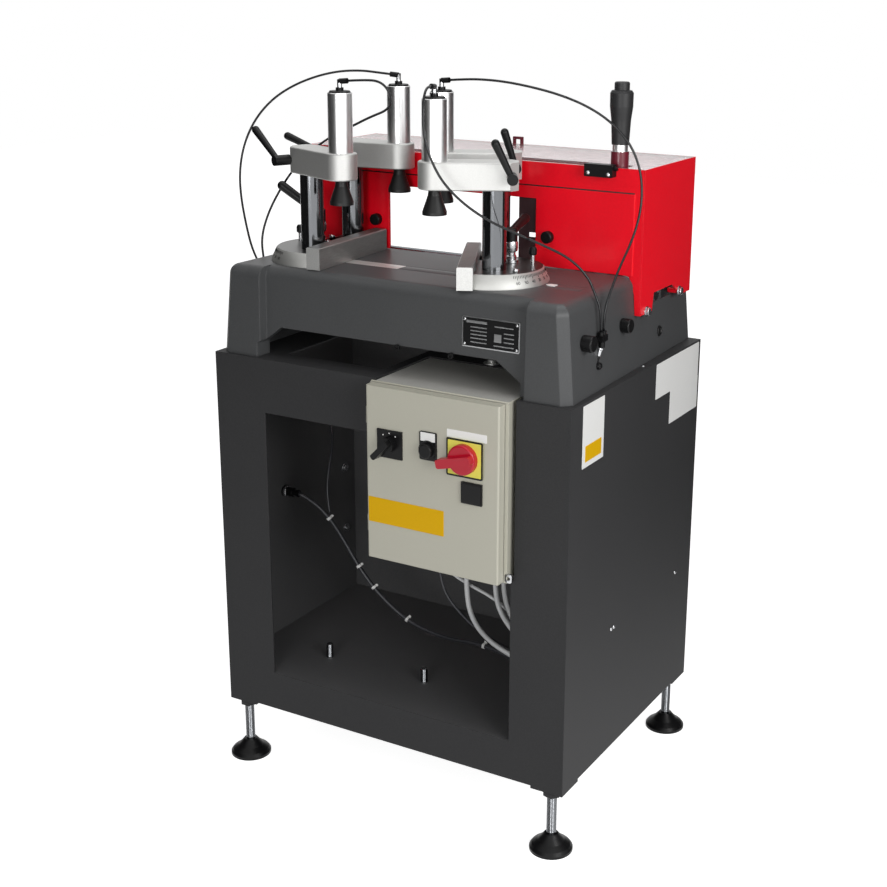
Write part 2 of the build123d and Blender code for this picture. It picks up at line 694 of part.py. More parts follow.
def cylinder(a):
    z = CYL_TOP
    r = CYL_R
    body = turned([(0, ARM_TOP), (r, ARM_TOP), (r, z - 4), (r - 1, z - 3), (r - 3, z - 3), (r - 3, z - 1),
                   (r - 4, z), (0, z)])
    body -= post(0, 0, ARM_TOP - 1, z - 14, PISTON_R + RUN_FIT)
    body += post(0, 0, z, z + 5, 6.5)
    body += post(0, 0, z, z + ELBOW_UP + 3, 4)
    body += rod((0, 0, z + ELBOW_UP), (ELBOW_L * a.out, 0, z + ELBOW_UP + ELBOW_L * a.rise), 4.5, 4.5)
    return Pos(a.tip[0], a.tip[1], 0) * Rot(0, 0, ELBOW[a.name]) * body


def clamp_foot(a):
    z = ARM_BOT - FOOT_DROP
    foot = turned([(0, z + 4), (CONE_R - 6, z + 4), (CONE_R - 4, z), (CONE_R, z), (CONE_R, z + 5),
                   (CONE_TOP_R + 1, z + CONE_H - 8), (CONE_TOP_R, z + CONE_H), (PISTON_R, z + CONE_H),
                   (PISTON_R, CYL_TOP - 20), (0, CYL_TOP - 20)])
    return Pos(a.tip[0], a.tip[1], 0) * foot


def clamp_lever(a):
    w = ARM_W / 2
    x = CLAMP_PIN_X
    z = (ARM_BOT + ARM_TOP) / 2
    s = a.side
    pin = bar_y(x, -w + 2, w - 2, z, CLAMP_PIN_R)
    near = s * (w + 0.4)
    end = s * (w + 30)
    hub = bar_y(x, min(near, end), max(near, end), z, 9)
    neck = bar_y(x, min(0, s * (w + 4)), max(0, s * (w + 4)), z, CLAMP_PIN_R)
    lean = math.radians(a.lean)
    length = GRIP_L[a.station.name]
    tip = (x + length * math.sin(lean), s * (w + 30), z + length * math.cos(lean))
    grip = rod((x, s * (w + 22), z), tip, 5, 6.8) + Pos(*tip) * Sphere(6.8)
    return a.place(pin + hub + neck + grip)


def side_knob(y, z, r, length):
    x = half_width(y, z)
    knob = bar_x(x + 2, x + length, y, z, r)
    knob = fillet(knob.edges().group_by(Axis.X)[-1], 3)
    return knob + bar_x(x - 5, x + 4, y, z, KNOB_PIN_R)


SPLIT_Y = -139.0
SPLIT_PORT = 5.0
SPLIT_LOW = CAB_TOP + 71.0
SPLIT_Z = SPLIT_LOW + 26.0
SPLIT_X = half_width(SPLIT_Y, SPLIT_LOW + 9) + 7


def hose_splitters(cast):
    pair = []
    y = SPLIT_Y
    z = SPLIT_LOW
    for sx in (-1, 1):
        x = sx * SPLIT_X
        body = block(x - 5.5, x + 5.5, y - 10.5, y + 10.5, z + 10, z + 20)
        body += post(x, y, z, z + 14, 4.8)
        for port in (-SPLIT_PORT, SPLIT_PORT):
            body += post(x, y + port, z + 16, SPLIT_Z, 4.6)
        body += rod((x, y, z + 4), (sx * (half_width(y - 7, z - 30) - 4), y - 7, z - 30), 3, 3)
        pair.append(body - cast)
    return pair


DIA_HOSE = 4.0
DIA_TUBE = 8.0
DIA_BRANCH = 5.0
STATIONS = {"l": Station("l", PIVOT_L, TURN_L, -1), "r": Station("r", PIVOT_R, TURN_R, 1)}
ARMS = [Arm("lf", STATIONS["l"], COL_V0, -1, -52), Arm("lr", STATIONS["l"], COL_V1, -1, -68),
        Arm("rf", STATIONS["r"], COL_V0, 1, 26), Arm("rr", STATIONS["r"], COL_V1, 1, 18)]


def hose_start(name, run):
    """Mouth of a cylinder's elbow and a point a little further along it."""
    a = [q for q in ARMS if q.name == name][0]
    t = math.radians(ELBOW[name])
    ends = []
    for reach in (ELBOW_L, run):
        flat = reach * a.out
        z = CYL_TOP + ELBOW_UP + reach * a.rise
        ends.append((a.tip[0] + flat * math.cos(t), a.tip[1] + flat * math.sin(t), z))
    return ends


def left_hoses():
    front = SPLIT_Y - SPLIT_PORT
    back = SPLIT_Y + SPLIT_PORT
    outer = hose_start("lr", 40)
    outer += [(-190, -31, 1267), (-230, -42, 1265), (-272, -54, 1255), (-316, -66, 1237), (-356, -76, 1211),
              (-388, -86, 1174), (-407, -96, 1128), (-411, -105, 1080), (-402, -114, 1036), (-386, -123, 992),
              (-367, -133, 952), (-SPLIT_X, front, 920), (-SPLIT_X, front, SPLIT_Z)]
    inner = hose_start("lf", 38)
    inner += [(-46, -190, 1265), (-30, -184, 1245), (-38, -173, 1219), (-87, -162, 1202), (-130, -150, 1184),
              (-168, -138, 1170), (-212, -121, 1150), (-256, -108, 1124), (-294, -103, 1092),
              (-322, -106, 1054), (-343, -114, 1012), (-352, -124, 968), (-SPLIT_X, back, 928),
              (-SPLIT_X, back, SPLIT_Z)]
    return [hose("left outer hose", outer, DIA_HOSE), hose("left inner hose", inner, DIA_HOSE)]


def right_hoses():
    front = SPLIT_Y - SPLIT_PORT
    back = SPLIT_Y + SPLIT_PORT
    far = hose_start("rr", 40)
    far += [(76, -79, 1266), (118, -74, 1264), (164, -66, 1257), (212, -56, 1246), (258, -46, 1229),
            (296, -36, 1205), (326, -27, 1172), (342, -21, 1133), (348, -22, 1092), (348, -32, 1052),
            (344, -54, 1014), (340, -84, 982), (339, -112, 950), (SPLIT_X, back, 920),
            (SPLIT_X, back, SPLIT_Z)]
    near = hose_start("rf", 37)
    near += [(75, -252, 1249), (78, -258, 1230), (78, -259, 1204), (83, -258, 1176), (93, -254, 1146),
             (109, -248, 1117), (138, -239, 1088), (174, -226, 1063), (214, -206, 1043), (256, -183, 1023),
             (290, -164, 1004), (316, -151, 976), (328, -146, 946), (SPLIT_X, front, 918),
             (SPLIT_X, front, SPLIT_Z)]
    return [hose("right rear hose", far, DIA_HOSE), hose("right front hose", near, DIA_HOSE)]


def air_tube():
    wall = CAB_W / 2 - SHEET
    fitting = bar_x(-wall, -wall + 22, -85, 474, 9) + bar_x(-wall + 18, -wall + 34, -85, 474, 6)
    tube = [(-wall + 32, -85, 474), (-293, -74, 462), (-260, -63, 430), (-232, -55, 385), (-204, -50, 337),
            (-170, -46, 295), (-135, -44, 267), (-98, -42, 244), (-52, -42, 231), (0, -45, 229),
            (54, -48, 236), (106, -52, 234), (158, -56, 222), (210, -60, 209), (258, -62, 202),
            (303, -62, 201), (wall, -62, 201)]
    branch = [(-wall, 20, 600), (-wall + 28, 20, 600), (-296, 4, 580), (-280, -20, 552), (-276, -40, 510),
              (-272, -52, 470), (-262, -57, 434)]
    return [fitting, hose("air tube", tube, DIA_TUBE), hose("air branch", branch, DIA_BRANCH)]


def box_cables():
    wall = CAB_W / 2 - SHEET
    top = BOX_Z0
    runs = [
        (9.0, [(176, -190, top), (176, -190, 450), (176, -187, 410), (182, -179, 376), (200, -168, 342),
               (232, -160, 318), (287, -155, 304), (wall, -155, 304)]),
        (9.0, [(182, -171, top), (182, -171, 450), (181, -168, 412), (187, -160, 372), (205, -150, 334),
               (240, -144, 308), (291, -140, 298), (wall, -140, 298)]),
        (9.0, [(113, -180, top), (113, -180, 445), (113, -178, 404), (114, -171, 364), (124, -158, 326),
               (148, -145, 296), (192, -138, 276), (242, -134, 266), (294, -132, 262), (wall, -132, 262)]),
        (6.0, [(52, -166, top), (52, -166, 456), (72, -166, 424), (114, -165, 408), (158, -160, 392),
               (188, -148, 364), (212, -134, 328), (246, -124, 300), (296, -120, 286), (wall, -120, 286)]),
        (3.0, [(64, -190, top), (64, -190, 450), (67, -186, 414), (74, -180, 385), (92, -168, 354),
               (117, -150, 320), (146, -128, 292), (190, -114, 270), (240, -107, 257),
               (294, -106, 254), (wall, -106, 254)]),
    ]
    return [hose("box cable", points, dia) for dia, points in runs]


def main():
    os.makedirs("parts", exist_ok=True)
    cast = table_casting()
    made = {
        "cabinet": cabinet(),
        "levelling_feet": levelling_feet(),
        "table_casting": cast,
        "guide_bar": guide_bar(),
        "guard_front": guard_front(cast),
        "guard_ends": guard_ends(cast),
        "guard_rear_rail": guard_rear_rail(),
        "guard_top": guard_top(),
        "limit_switch": limit_switch(),
        "rails": rails(),
        "shutter_left": shutter(WIN_L - SHUTTER_W, WIN_L - SHUTTER_SLOT - 19),
        "shutter_right": shutter(WIN_R - 35, WIN_R - 15),
        "shutter_knob_left": shutter_knob(WIN_L - KNOB_OUT),
        "shutter_knob_right": shutter_knob(WIN_R + KNOB_OUT),
        "carriage": carriage(),
        "motor": motor(),
        "cutter_spindle": cutter_spindle(),
        "lever_stem": lever_stem(),
        "lever_grip": lever_grip(),
        "box_body": box_body(),
        "box_door": box_door(),
        "switch_bezels": switch_bezels(),
        "main_switch_plate": main_switch_plate(),
        "main_switch_handle": main_switch_handle(),
        "selector_knob": selector_knob(),
        "push_button": push_button(),
        "side_knob_front": side_knob(*SIDE_KNOBS[0]),
        "side_knob_rear": side_knob(*SIDE_KNOBS[1]),
        "hose_splitters": hose_splitters(cast),
        "left_hoses": left_hoses(),
        "right_hoses": right_hoses(),
        "air_tube": air_tube(),
        "box_cables": box_cables(),
    }
    for key, s in STATIONS.items():
        side = "left" if key == "l" else "right"
        made["turntable_" + side] = turntable(s)
        made["fence_" + side] = fence(s)
        made["columns_" + side] = columns(s)
        made["lock_lever_" + side] = lock_lever(s)
        made["index_plunger_" + side] = index_plunger(s)
    for a in ARMS:
        made["arm_" + a.name] = arm(a)
        made["cylinder_" + a.name] = cylinder(a)
        made["clamp_foot_" + a.name] = clamp_foot(a)
        made["clamp_lever_" + a.name] = clamp_lever(a)
    for name, shape in made.items():
        export(shape, name)
    print(len(made), "nodes")


main()
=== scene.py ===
import math
import bmesh
import bpy
from bpy.props import FloatProperty, FloatVectorProperty, IntProperty, PointerProperty
from mathutils import Matrix, Vector


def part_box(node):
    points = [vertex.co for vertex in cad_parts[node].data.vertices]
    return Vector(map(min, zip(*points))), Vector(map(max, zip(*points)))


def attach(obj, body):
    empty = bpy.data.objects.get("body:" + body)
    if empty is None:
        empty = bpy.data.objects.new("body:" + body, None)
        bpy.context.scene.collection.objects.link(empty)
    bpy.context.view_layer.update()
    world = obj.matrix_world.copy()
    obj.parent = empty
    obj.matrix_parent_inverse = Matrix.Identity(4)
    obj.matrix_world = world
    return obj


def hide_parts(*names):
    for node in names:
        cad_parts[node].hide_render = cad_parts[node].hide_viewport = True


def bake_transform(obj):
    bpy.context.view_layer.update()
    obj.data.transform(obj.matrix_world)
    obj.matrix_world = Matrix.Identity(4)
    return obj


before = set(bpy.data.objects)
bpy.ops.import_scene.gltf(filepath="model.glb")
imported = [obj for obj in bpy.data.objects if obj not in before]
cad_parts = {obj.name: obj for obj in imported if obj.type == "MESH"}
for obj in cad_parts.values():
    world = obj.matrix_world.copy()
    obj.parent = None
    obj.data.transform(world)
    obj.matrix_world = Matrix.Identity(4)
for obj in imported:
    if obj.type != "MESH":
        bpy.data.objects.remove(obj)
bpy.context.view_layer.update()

bl_info = {
    "name": "End Milling Machine Looks",
    "version": (1, 0, 0),
    "blender": (4, 5, 0),
    "location": "View3D > Sidebar > Machine",
    "description": "Finishes, hoses, plates, scales and fasteners for an end milling machine",
    "category": "Object",
}

# The frame's origin is under the middle of the machine; routes are written from the cabinet's own middle.
CABINET_MIDDLE_Y = 0.02475
MM = 0.001
ARMS = ("lf", "lr", "rf", "rr")
# The ways that pieces face; the casting's front leans back a little, and the data plate with it
UP = (0.0, 0.0, 1.0)
DOWN = (0.0, 0.0, -1.0)
LEFT = (-1.0, 0.0, 0.0)
RIGHT = (1.0, 0.0, 0.0)
FRONT = (0.0, -1.0, 0.0)
BACK = (0.0, 1.0, 0.0)
CASTING_FRONT = (0.0, -1.0, 0.029)
PLATE_LEAN = 0.03
# A face whose normal rises at least this much looks up
LEVEL = 0.9
# Lengths in metres under this count as none; the usual rounding of a small piece's edges, in metres
TINY = 1e-6
EDGE = 0.0004
# In degrees: edges that bend more than the first are rounded, and those under the second look smooth
ROUND_FROM = 40
SMOOTH_TO = 35


def linear(hex_colour):
    """An sRGB hex colour as linear red, green and blue."""
    parts = [int(hex_colour[i:i + 2], 16) / 255 for i in (0, 2, 4)]
    return tuple(p / 12.92 if p <= 0.04045 else ((p + 0.055) / 1.055) ** 2.4 for p in parts)


def colour_property(name, description, hex_colour):
    return FloatVectorProperty(name=name, description=description, default=linear(hex_colour),
                               subtype="COLOR", size=3, min=0.0, max=1.0)


def length_property(name, description, default):
    return FloatProperty(name=name, description=description, default=default, unit="LENGTH", min=0.0)


class MachineColours(bpy.types.PropertyGroup):
    """Colours of the machine's finishes."""
    cabinet: colour_property("Cabinet", "Structured powder coat of the cabinet", "373738")
    casting: colour_property("Casting", "Hammered enamel of the table casting", "494A4B")
    guard: colour_property("Guard", "Red enamel of the guard", "F40720")
    box: colour_property("Control box", "Pebble grey enamel of the control box", "BAB8AA")
    stem: colour_property("Lever stem", "Maroon paint of the feed lever's stem", "6B1B2A")
    handle: colour_property("Main switch handle", "Red plastic of the main switch", "B5102A")
    yellow: colour_property("Main switch plate", "Yellow plastic behind the main switch", "E2DC5A")
    plate_yellow: colour_property("Yellow plate", "Yellow of the bare plate on the door", "E0AE00")
    cable: colour_property("Cables", "Grey jacket of the cables under the box", "CCCDCE")


class MachineSizes(bpy.types.PropertyGroup):
    """Sizes of the pieces that are added to the frame."""
    hose: length_property("Hose", "Diameter of the clamp hoses", 0.004)
    air_tube: length_property("Air tube", "Diameter of the air tube in the cabinet", 0.008)
    branch: length_property("Branch tube", "Diameter of the branch to the air tube", 0.005)
    cable: length_property("Cable", "Diameter of the box cables", 0.009)
    slim_cable: length_property("Slim cable", "Diameter of the slim box cable", 0.006)
    thin_cable: length_property("Thin cable", "Diameter of the thin box cable", 0.0045)
    hex_head: length_property("Hex head", "Width across the flats of the M8 bolts", 0.013)
    cap_head: length_property("Cap head", "Diameter of the socket heads", 0.010)
    plate: length_property("Plate", "Thickness of the riveted plates", 0.0008)
    tick: length_property("Scale line", "Width of the scale lines on the turntables", 0.0007)
    tube_sides: IntProperty(name="Tube sides", description="Sides of a tube", default=12, min=6)


# Materials

# Where a pattern reaches its darkest and its palest colour
DARK_AT = 0.30
PALE_AT = 0.70
# Paint: the size of its clouds, their share beside the grain, the play of its roughness, its relief and coat
CLOUD_MM = 180
CLOUD_SHARE = 0.35
PAINT_PLAY = 0.06
PAINT_RELIEF_MM = 0.15
COAT_ROUGHNESS = 0.12
# Metal: the play of its roughness and its relief
METAL_PLAY = 0.05
METAL_RELIEF_MM = 0.05

# Paints, plastics and rubber. Each has its name, its colour, the size of its grain in mm, the strength of its
# bump, its roughness and its coat, and then, where they aren't plain, its mottling, its gloss and the radius
# in mm at which it runs round an edge. Where the colour is None, it is the property of the same name.
PAINTS = {
    # Structured powder coat: a fine pebbled skin, half matt. Its 1 mm grain is drawn at 2.2 mm to show.
    "cabinet": ("structured_powder_coat", None, 2.2, 0.5, 0.55, 0.0, 0.12, 0.12, 2.0),
    # The same coat inside the cabinet, a little paler as painted light on the shaded inside, and duller.
    "inner": ("dusty_powder_coat", "505051", 2.2, 0.5, 0.58, 0.0, 0.14, 0.3),
    # Hammered enamel over a fettled casting: a fine pebbled skin of about 2 mm, satin.
    "casting": ("hammered_enamel_on_casting", None, 2.4, 0.30, 0.42, 0.03, 0.10, 0.28, 3.0),
    # Red gloss enamel on folded sheet: even colour, slight orange peel.
    "guard": ("red_gloss_enamel", None, 5.0, 0.08, 0.34, 0.12, 0.04, 0.34, 1.5),
    # Textured polyester paint of control boxes: a very fine grain, satin.
    "box": ("pebble_grey_enamel", None, 1.6, 0.25, 0.42, 0.05, 0.03, 0.5, 1.5),
    # The same enamel on the box's top, with painted shade: greyer than the box, for the shade under the
    # casting's overhang; dull and blotched.
    "box_top": ("dusty_grey_enamel", "B4B3AE", 3.0, 0.30, 0.60, 0.0, 0.10, 0.4),
    # Maroon brushing paint on the lever's stem: a faint drag of the brush, glossy.
    "stem": ("maroon_paint", None, 4.0, 0.15, 0.30, 0.2, 0.08),
    # Glass-filled nylon of knobs and levers: black, a fine moulded grain, satin.
    "plastic": ("moulded_black_nylon", "0D0D0E", 1.4, 0.25, 0.38, 0.0, 0.15, 0.22),
    # Moulded PVC of the feed lever's grip: black gone a little grey, satin.
    "grip": ("moulded_pvc_grip", "2A2A2B", 1.6, 0.3, 0.45, 0.0, 0.12, 0.3),
    # Nitrile rubber of clamp feet and pads: black, dull.
    "rubber": ("black_rubber", "101010", 2.0, 0.3, 0.45, 0.0, 0.15, 0.35),
    # Steel of the right shutter: dark reddish brown, satin.
    "dark_shutter_steel": ("black_oxide_steel", "3A2427", 3.0, 0.1, 0.38, 0.0, 0.10),
    # ABS of the main switch: even and glossy.
    "handle": ("red_abs", None, 2.0, 0.1, 0.30, 0.1, 0.03, 0.4),
    "yellow": ("yellow_abs", None, 2.0, 0.1, 0.38, 0.0, 0.03),
    # Polyurethane air hose: black, smooth and shiny.
    "hose": ("polyurethane_hose", "17181A", 8.0, 0.05, 0.30, 0.0, 0.10, 0.35),
    # Polyamide air tube in the cabinet: black gone grey, with a broad satin light along it.
    "air_tube": ("polyamide_air_tube", "303135", 6.0, 0.05, 0.42, 0.0, 0.12),
    # PVC cable jacket: pale grey, satin.
    "cable": ("pvc_cable_jacket", None, 4.0, 0.08, 0.38, 0.0, 0.04),
    # Polyester labels: smooth, half matt.
    "white": ("white_polyester_label", "F1F1EF", 3.0, 0.03, 0.35, 0.0, 0.02),
    "plate_yellow": ("yellow_polyester_label", None, 3.0, 0.03, 0.40, 0.0, 0.03, 0.2),
}

# Bare metals. Each has its name, its colour, its roughness, the size of its grain in mm, how the grain is
# drawn out on each axis, the strength of its bump and the spread of its colour.
METALS = {
    # Bead-blasted and clear-anodised cast aluminium: grey-white with a fine sandy grain.
    "arm": ("bead_blasted_aluminium", "C0C0BE", 0.56, 0.9, (1.0, 1.0, 1.0), 0.35, 0.10),
    # Extruded and anodised tube: smooth, pale, a little drawn along its length.
    "tube": ("anodised_aluminium_tube", "E6E6E6", 0.30, 3.0, (1.0, 1.0, 0.05), 0.08, 0.04),
    # Milled steel: cutter lines along the piece.
    "milled": ("milled_steel", "B4B4B2", 0.46, 1.6, (1.0, 0.08, 1.0), 0.25, 0.10),
    # Ground steel with grinding lines along the piece, dark grey: painted shade for the dark reflection on
    # the discs' tops, which face up.
    "ground": ("ground_steel", "5E5E5D", 0.34, 1.6, (1.0, 0.08, 1.0), 0.25, 0.16),
    # Milled steel on the tops of the fences, darker than on their sides: painted shade for the dark
    # reflection on faces that look up.
    "rubbed": ("rubbed_steel", "8E8E8C", 0.48, 1.6, (1.0, 0.08, 1.0), 0.25, 0.12),
    # Bright ground steel of the guide strip's left part, with lines along its length; the table bolt has it
    # too.
    "bright": ("bright_ground_steel", "E2E2DF", 0.46, 1.4, (0.06, 1.0, 1.0), 0.2, 0.06),
    # Turned rim of the turntables: pale, with fine rings round it.
    "turned": ("turned_steel", "B6B6B3", 0.56, 1.2, (1.0, 1.0, 4.0), 0.2, 0.06),
    # Ground and hard-chromed steel: nearly a mirror, its colour darker than chrome's own: painted shade for
    # the dark room that it reflects.
    "chrome": ("hard_chrome", "7E8083", 0.10, 2.0, (1.0, 1.0, 0.1), 0.03, 0.03),
    # Zinc-plated steel of screws and rods: bright, a little cloudy.
    "zinc": ("zinc_plated_steel", "BBBCBE", 0.26, 1.5, (1.0, 1.0, 1.0), 0.10, 0.08),
    # Sand-cast aluminium of the carriage and motor, dull and cloudy.
    "cast": ("sand_cast_aluminium", "9C9D9E", 0.55, 1.8, (1.0, 1.0, 1.0), 0.5, 0.15),
    # Tool steel of the cutter: grinding lines across it.
    "steel": ("ground_tool_steel", "B4B5B8", 0.25, 1.2, (0.1, 1.0, 1.0), 0.2, 0.08),
    # Printed aluminium of the data plate: brushed along its length.
    "plate": ("printed_aluminium_plate", "B9BABB", 0.30, 1.2, (0.05, 1.0, 1.0), 0.1, 0.06),
}


def node(tree, kind, settings=None, links=None):
    """Adds a node, sets its options and socket values, and links its inputs to other nodes' outputs."""
    made = tree.nodes.new(kind)
    for key, value in (settings or {}).items():
        if hasattr(made, key):
            setattr(made, key, value)
        else:
            made.inputs[key].default_value = value
    for key, socket in (links or {}).items():
        tree.links.new(socket, made.inputs[key])
    return made


def shader(name):
    """A new material, its tree, its Principled shader and its Object coordinates in metres."""
    material = bpy.data.materials.new(name)
    material.use_nodes = True
    tree = material.node_tree
    bsdf = tree.nodes["Principled BSDF"]
    return material, tree, bsdf, node(tree, "ShaderNodeTexCoord").outputs["Object"]


def per_metre(size_mm):
    """Texture scale for a pattern whose features are about this many millimetres apart."""
    return 1000.0 / size_mm


def rgba(colour):
    return (*colour, 1.0)


def lighter(colour, share):
    """The colour brightened, or darkened, by a share."""
    return tuple(max(0.0, min(1.0, c * (1 + share))) for c in colour)


def grained(tree, bsdf, pattern, colour, spread, rough, play, grain, bump, relief_mm):
    """Lets the colour and the roughness follow a pattern, raises the grain, and gives the bump's node."""
    ramp = node(tree, "ShaderNodeValToRGB", None, {"Fac": pattern})
    dark, pale = ramp.color_ramp.elements
    dark.position = DARK_AT
    pale.position = PALE_AT
    dark.color = rgba(lighter(colour, -spread))
    pale.color = rgba(lighter(colour, spread))
    shine = node(tree, "ShaderNodeMapRange", {"To Min": rough - play, "To Max": rough + play},
                 {"Value": pattern})
    relief = node(tree, "ShaderNodeBump", {"Strength": bump, "Distance": relief_mm * MM}, {"Height": grain})
    tree.links.new(ramp.outputs["Color"], bsdf.inputs["Base Color"])
    tree.links.new(shine.outputs["Result"], bsdf.inputs["Roughness"])
    tree.links.new(relief.outputs["Normal"], bsdf.inputs["Normal"])
    return relief


def painted(name, colour, grain_mm, bump, rough, coat, mottle=0.10, gloss=0.5, edge_mm=0.0):
    """Paint with a grain: a mottled colour, a roughness that follows it and a bump of that grain."""
    material, tree, bsdf, place = shader(name)
    grain = node(tree, "ShaderNodeTexNoise", {"Scale": per_metre(grain_mm), "Detail": 4.0}, {"Vector": place})
    cloud = node(tree, "ShaderNodeTexNoise", {"Scale": per_metre(CLOUD_MM), "Detail": 3.0}, {"Vector": place})
    both = node(tree, "ShaderNodeMix", {"data_type": "FLOAT", "Factor": CLOUD_SHARE},
                {"A": grain.outputs["Fac"], "B": cloud.outputs["Fac"]})
    relief = grained(tree, bsdf, both.outputs["Result"], colour, mottle, rough, PAINT_PLAY,
                     grain.outputs["Fac"], bump, PAINT_RELIEF_MM)
    if edge_mm:
        edge = node(tree, "ShaderNodeBevel", {"Radius": edge_mm * MM})
        tree.links.new(edge.outputs["Normal"], relief.inputs["Normal"])
    bsdf.inputs["Specular IOR Level"].default_value = gloss
    bsdf.inputs["Coat Weight"].default_value = coat
    bsdf.inputs["Coat Roughness"].default_value = COAT_ROUGHNESS
    return material


def metal(name, colour, rough, grain_mm, stretch, bump, spread):
    """Bare metal whose grain is drawn out along one axis, as a cutter, brush or grinder leaves it."""
    material, tree, bsdf, place = shader(name)
    drawn = node(tree, "ShaderNodeMapping", {"Scale": stretch}, {"Vector": place})
    grain = node(tree, "ShaderNodeTexNoise", {"Scale": per_metre(grain_mm), "Detail": 5.0},
                 {"Vector": drawn.outputs["Vector"]}).outputs["Fac"]
    grained(tree, bsdf, grain, colour, spread, rough, METAL_PLAY, grain, bump, METAL_RELIEF_MM)
    bsdf.inputs["Metallic"].default_value = 1.0
    return material


def clear_sheet():
    """Polycarbonate sheet: clear, with a faint pink that is the red guard's reflection painted in, and fine
    scuffs that dull it.
    """
    material, tree, bsdf, place = shader("clear_polycarbonate")
    scuff = node(tree, "ShaderNodeTexNoise", {"Scale": per_metre(25), "Detail": 6.0}, {"Vector": place})
    shine = node(tree, "ShaderNodeMapRange", {"To Min": 0.08, "To Max": 0.30},
                 {"Value": scuff.outputs["Fac"]})
    tree.links.new(shine.outputs["Result"], bsdf.inputs["Roughness"])
    # The pink is the red guard's painted reflection
    bsdf.inputs["Base Color"].default_value = rgba(linear("FAE3E6"))
    bsdf.inputs["IOR"].default_value = 1.585
    bsdf.inputs["Transmission Weight"].default_value = 0.85
    return material


def make_finishes(colours):
    """Every finish of the machine by its short name."""
    made = {"clear": clear_sheet()}
    for key, (name, colour, *rest) in PAINTS.items():
        made[key] = painted(name, linear(colour) if colour else getattr(colours, key), *rest)
    for key, (name, colour, *rest) in METALS.items():
        made[key] = metal(name, linear(colour), *rest)
    return made


FINISHES = {}


def dress(name, finish, *others):
    """Gives a CAD node its finish; others are (finish, test of a face's middle and normal) for parts."""
    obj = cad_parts[name]
    obj.data.materials.clear()
    obj.data.materials.append(FINISHES[finish])
    for index, (other, test) in enumerate(others, 1):
        obj.data.materials.append(FINISHES[other])
        for face in obj.data.polygons:
            if test(face.center, face.normal):
                face.material_index = index


# CAD nodes with one finish all over, by that finish
PLAIN = {
    "casting": ("table_casting",),
    "ground": ("guide_bar",),
    "guard": ("guard_front", "guard_ends", "guard_rear_rail", "shutter_left"),
    "clear": ("guard_top",),
    "chrome": ("rails", "columns_left", "columns_right"),
    "dark_shutter_steel": ("shutter_right",),
    "cast": ("carriage", "motor"),
    "steel": ("cutter_spindle",),
    "grip": ("lever_grip",),
    "box": ("box_door",),
    "yellow": ("main_switch_plate",),
    "handle": ("main_switch_handle",),
    "arm": tuple("arm_" + arm for arm in ARMS),
    "plastic": ("limit_switch", "shutter_knob_left", "shutter_knob_right", "switch_bezels", "selector_knob",
                "push_button", "side_knob_front", "side_knob_rear", "hose_splitters",
                *("clamp_lever_" + arm for arm in ARMS)),
}
# Middles of the two studs on the cabinet's floor and the floor's height, in metres from the cabinet's middle
STUDS = ((-0.194, -0.162), (0.013, -0.159))
STUD_REACH = 0.0065
STUD_TOP = 0.030
CABINET_FLOOR = 0.193
# Half the width and depth inside the cabinet's sheets, and the heights between which its inside lies
INSIDE_HALF_WIDTH = 0.3485
INSIDE_HALF_DEPTH = 0.262
INSIDE_LOW = 0.1225
INSIDE_HIGH = 0.7885
# Heights at which a levelling foot's pad ends and its nut begins
PAD_TOP = 0.031
NUT_LOW = 0.1025
# Heights, over the disc, up to which the lock lever and the index plunger are bare metal
LOCK_BARE = 0.0199
PLUNGER_BARE = 0.0139
# The bright ring at the top of the lever's stem, a cylinder's cap over its arm, the zinc band over the cap's
# foot and the height of a clamp foot's rubber cone
STEM_RING = 0.011
CAP_OVER_ARM = 0.098
CAP_BAND = (0.0085, 0.0135)
CONE_HEIGHT = 0.0392
# A point nearer to a face than this lies on it, and heights that differ by less than the second are the same
SKIN = 0.0005
SAME = 1e-5


def looks_up(place, normal):
    return normal.z > LEVEL


def inside_the_cabinet(place, normal):
    """Whether a face of the cabinet lies behind its outer sheets."""
    within = abs(place.x) < INSIDE_HALF_WIDTH and abs(place.y - CABINET_MIDDLE_Y) < INSIDE_HALF_DEPTH
    return within and INSIDE_LOW < place.z < INSIDE_HIGH


def on_a_stud(place, normal):
    """Whether a face of the cabinet belongs to one of the studs on its floor."""
    near = [math.hypot(place.x - x, place.y - CABINET_MIDDLE_Y - y) < STUD_REACH for x, y in STUDS]
    return any(near) and CABINET_FLOOR + SKIN < place.z < CABINET_FLOOR + STUD_TOP


